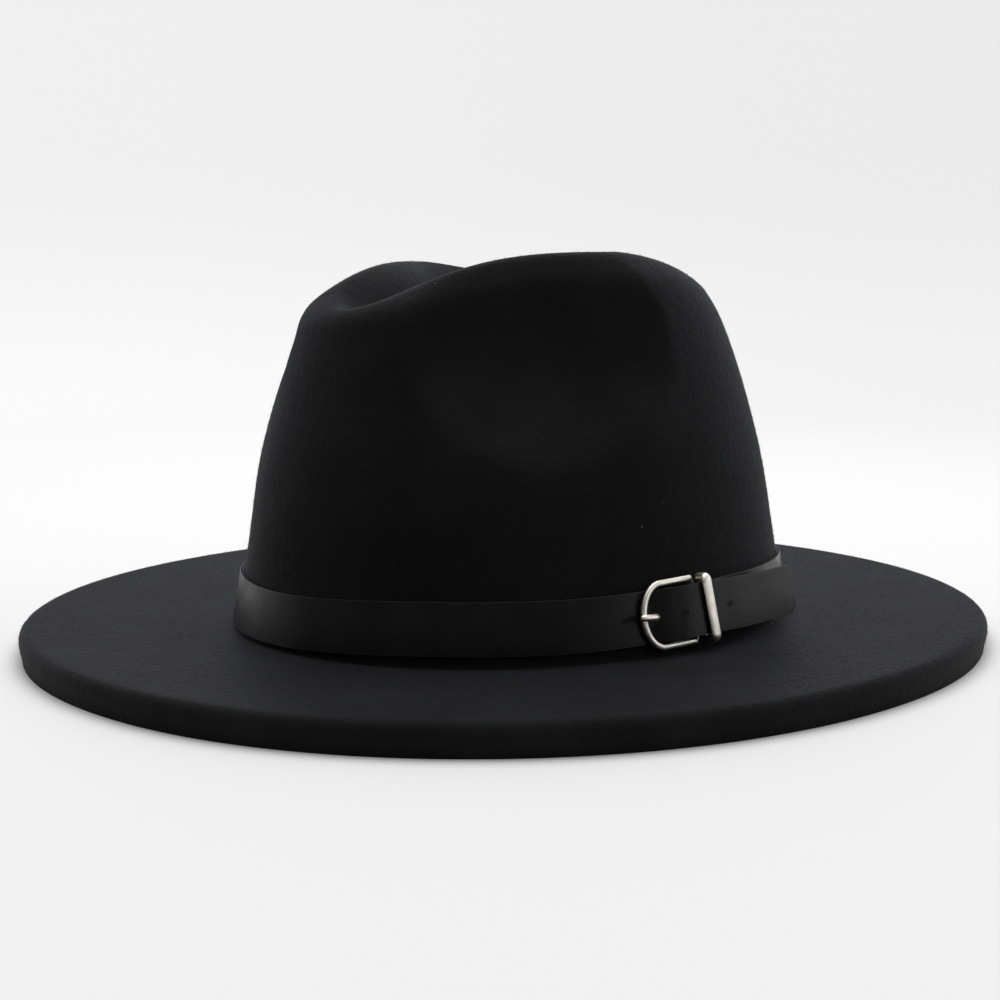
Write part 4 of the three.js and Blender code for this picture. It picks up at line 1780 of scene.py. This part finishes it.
@dataclass
class Studio:
    """A pale floor, a pale surround that is dark ahead of the hat, a soft light and the camera.

    Distances are in metres and heights in the surround are parts of a unit direction.
    """

    azimuth: float = 47.0
    elevation: float = 7.82
    distance: float = 0.6
    aim_height: float = 0.04585
    aim_aside: float = -0.0042
    focal_length: float = 60.74
    film_width: float = 36.0
    nearest: float = 0.01
    floor_radius: float = 4.0
    floor_colour: Colour = (0.691, 0.685, 0.676, 1.0)
    fade_from: float = 0.3
    fade_to: float = 1.1
    floor_roughness: float = 0.9
    floor_specular: float = 0.1
    floor_glow: float = 0.03
    floor_sides: int = 96
    horizon_band: tuple[float, float] = (-0.09, 0.07)
    behind_band: tuple[float, float] = (-0.05, 0.2)
    overhead_band: tuple[float, float] = (0.45, 0.95)
    sky_left: Colour = grey(0.868)
    sky_right: Colour = grey(0.831)
    horizon_left: Colour = grey(0.965)
    horizon_right: Colour = grey(0.9)
    low_behind: Colour = grey(0.75)
    high_behind: Colour = (1.43, 1.46, 1.6, 1.0)
    ahead: Colour = grey(0.13)
    overhead: Colour = grey(0.86)
    turn_from: float = -0.2
    turn_to: float = 0.95
    card: float = 0.92
    card_from: float = 0.7
    card_to: float = 0.98
    view_reach: float = 0.28
    soft_boxes: tuple[SoftBox, ...] = (
        SoftBox("overhead", (-0.3, 0.3, 1.5), (0.0, 0.0, 0.05), 1.8, 20.0),
    )

    def place_camera(self) -> None:
        """Sets the camera at the photograph's angle."""
        a, e = radians(self.azimuth), radians(self.elevation)
        back = Vector((sin(a) * cos(e), -cos(a) * cos(e), sin(e)))
        right = Vector((cos(a), sin(a), 0.0))
        upwards = back.cross(right)
        target = Vector((0.0, 0.0, self.aim_height)) + right * self.aim_aside
        data = bpy.data.cameras.new("camera")
        data.lens = self.focal_length
        data.sensor_width = self.film_width
        data.clip_start = self.nearest
        camera = bpy.data.objects.new("camera", data)
        matrix = Matrix((right, upwards, back)).transposed().to_4x4()
        matrix.translation = target + back * self.distance
        camera.matrix_world = matrix
        bpy.context.scene.collection.objects.link(camera)
        bpy.context.scene.camera = camera

    def hang_lights(self) -> None:
        """Hangs the soft boxes."""
        for box in self.soft_boxes:
            data = bpy.data.lights.new(box.name, "AREA")
            data.shape = "DISK"
            data.size = box.size
            data.energy = box.power
            light = bpy.data.objects.new(box.name, data)
            light.location = box.at
            direction = Vector(box.aim) - Vector(box.at)
            light.rotation_euler = direction.to_track_quat("-Z", "Y").to_euler()
            light.visible_camera = False
            bpy.context.scene.collection.objects.link(light)

    def surround(self) -> None:
        """Fills the surround: what the camera sees is plain, and the light comes from behind."""
        world = bpy.data.worlds.new("surround")
        world.use_nodes = True
        bpy.context.scene.world = world
        graph = Graph(world.node_tree)
        direction = graph.add("ShaderNodeTexCoord").outputs["Generated"]
        height = graph.add("ShaderNodeSeparateXYZ", {"Vector": direction}).outputs["Z"]
        turn = radians(self.azimuth)
        aside = graph.dot(direction, (cos(turn), sin(turn), 0.0))
        rightwards = graph.span(aside, -self.view_reach, self.view_reach)
        sky = graph.mix(rightwards, self.sky_left, self.sky_right)
        horizon = graph.mix(rightwards, self.horizon_left, self.horizon_right)
        risen = graph.span(height, *self.horizon_band)
        shown = graph.add("ShaderNodeBackground", {"Color": graph.mix(risen, horizon, sky)})
        away = graph.dot(direction, (-sin(turn), cos(turn), 0.0))
        backwards = graph.span(away, self.turn_from, self.turn_to)
        carded = graph.span(aside, self.card_from, self.card_to, 0.0, self.card)
        behind = graph.mix(
            graph.span(height, *self.behind_band), self.low_behind, self.high_behind
        )
        around = graph.mix(graph.math("MAXIMUM", backwards, carded), self.ahead, behind)
        level = graph.mix(graph.span(height, *self.overhead_band), around, self.overhead)
        lit = graph.add("ShaderNodeBackground", {"Color": level})
        first_ray = graph.add("ShaderNodeLightPath").outputs["Is Camera Ray"]
        mixed = graph.add("ShaderNodeMixShader", {
            0: first_ray, 1: lit.outputs[0], 2: shown.outputs[0],
        })
        graph.add("ShaderNodeOutputWorld", {"Surface": mixed.outputs[0]})

    def lay_floor(self) -> None:
        """Lays the floor, which fades into the surround far behind the hat."""
        bm = bmesh.new()
        bmesh.ops.create_circle(
            bm, cap_ends=True, segments=self.floor_sides, radius=self.floor_radius
        )
        mesh = bpy.data.meshes.new("floor")
        bm.to_mesh(mesh)
        bm.free()
        material, graph, shader = new_material("pale_floor")
        where = graph.add("ShaderNodeTexCoord").outputs["Object"]
        radius = graph.add("ShaderNodeVectorMath", {0: where}, operation="LENGTH").outputs["Value"]
        shader.inputs["Base Color"].default_value = self.floor_colour
        shader.inputs["Roughness"].default_value = self.floor_roughness
        shader.inputs["Specular IOR Level"].default_value = self.floor_specular
        shader.inputs["Emission Color"].default_value = grey(1.0)
        shader.inputs["Emission Strength"].default_value = self.floor_glow
        faded = graph.span(radius, self.fade_from, self.fade_to, 1.0, 0.0)
        graph.tree.links.new(faded, shader.inputs["Alpha"])
        mesh.materials.append(material)
        floor = bpy.data.objects.new("floor", mesh)
        bpy.context.scene.collection.objects.link(floor)

    def build(self) -> None:
        """Sets up the whole studio."""
        self.place_camera()
        self.hang_lights()
        self.surround()
        self.lay_floor()
        settings = bpy.context.scene.view_settings
        settings.view_transform = "Standard"
        settings.look = "None"


def main() -> None:
    """Builds the hat, its strap and buckle, and the studio round them."""
    logging.basicConfig(level=logging.INFO, format="%(name)s: %(message)s")
    Studio().build()
    form = HatForm()
    path = StrapPath(form)
    felt = FeltBody(form)
    felt.build(FeltFinish().build())
    FeltNap(felt).build(NapFinish().build())
    HatStrap(path).build(LeatherFinish(path.width / 2).build())
    nickel = NickelFinish().build()
    BuckleFrame(path).build(nickel)
    BuckleProng(path).build(nickel)
    StrapKeeper(path).build(nickel)


if __name__ == "__main__":
    main()
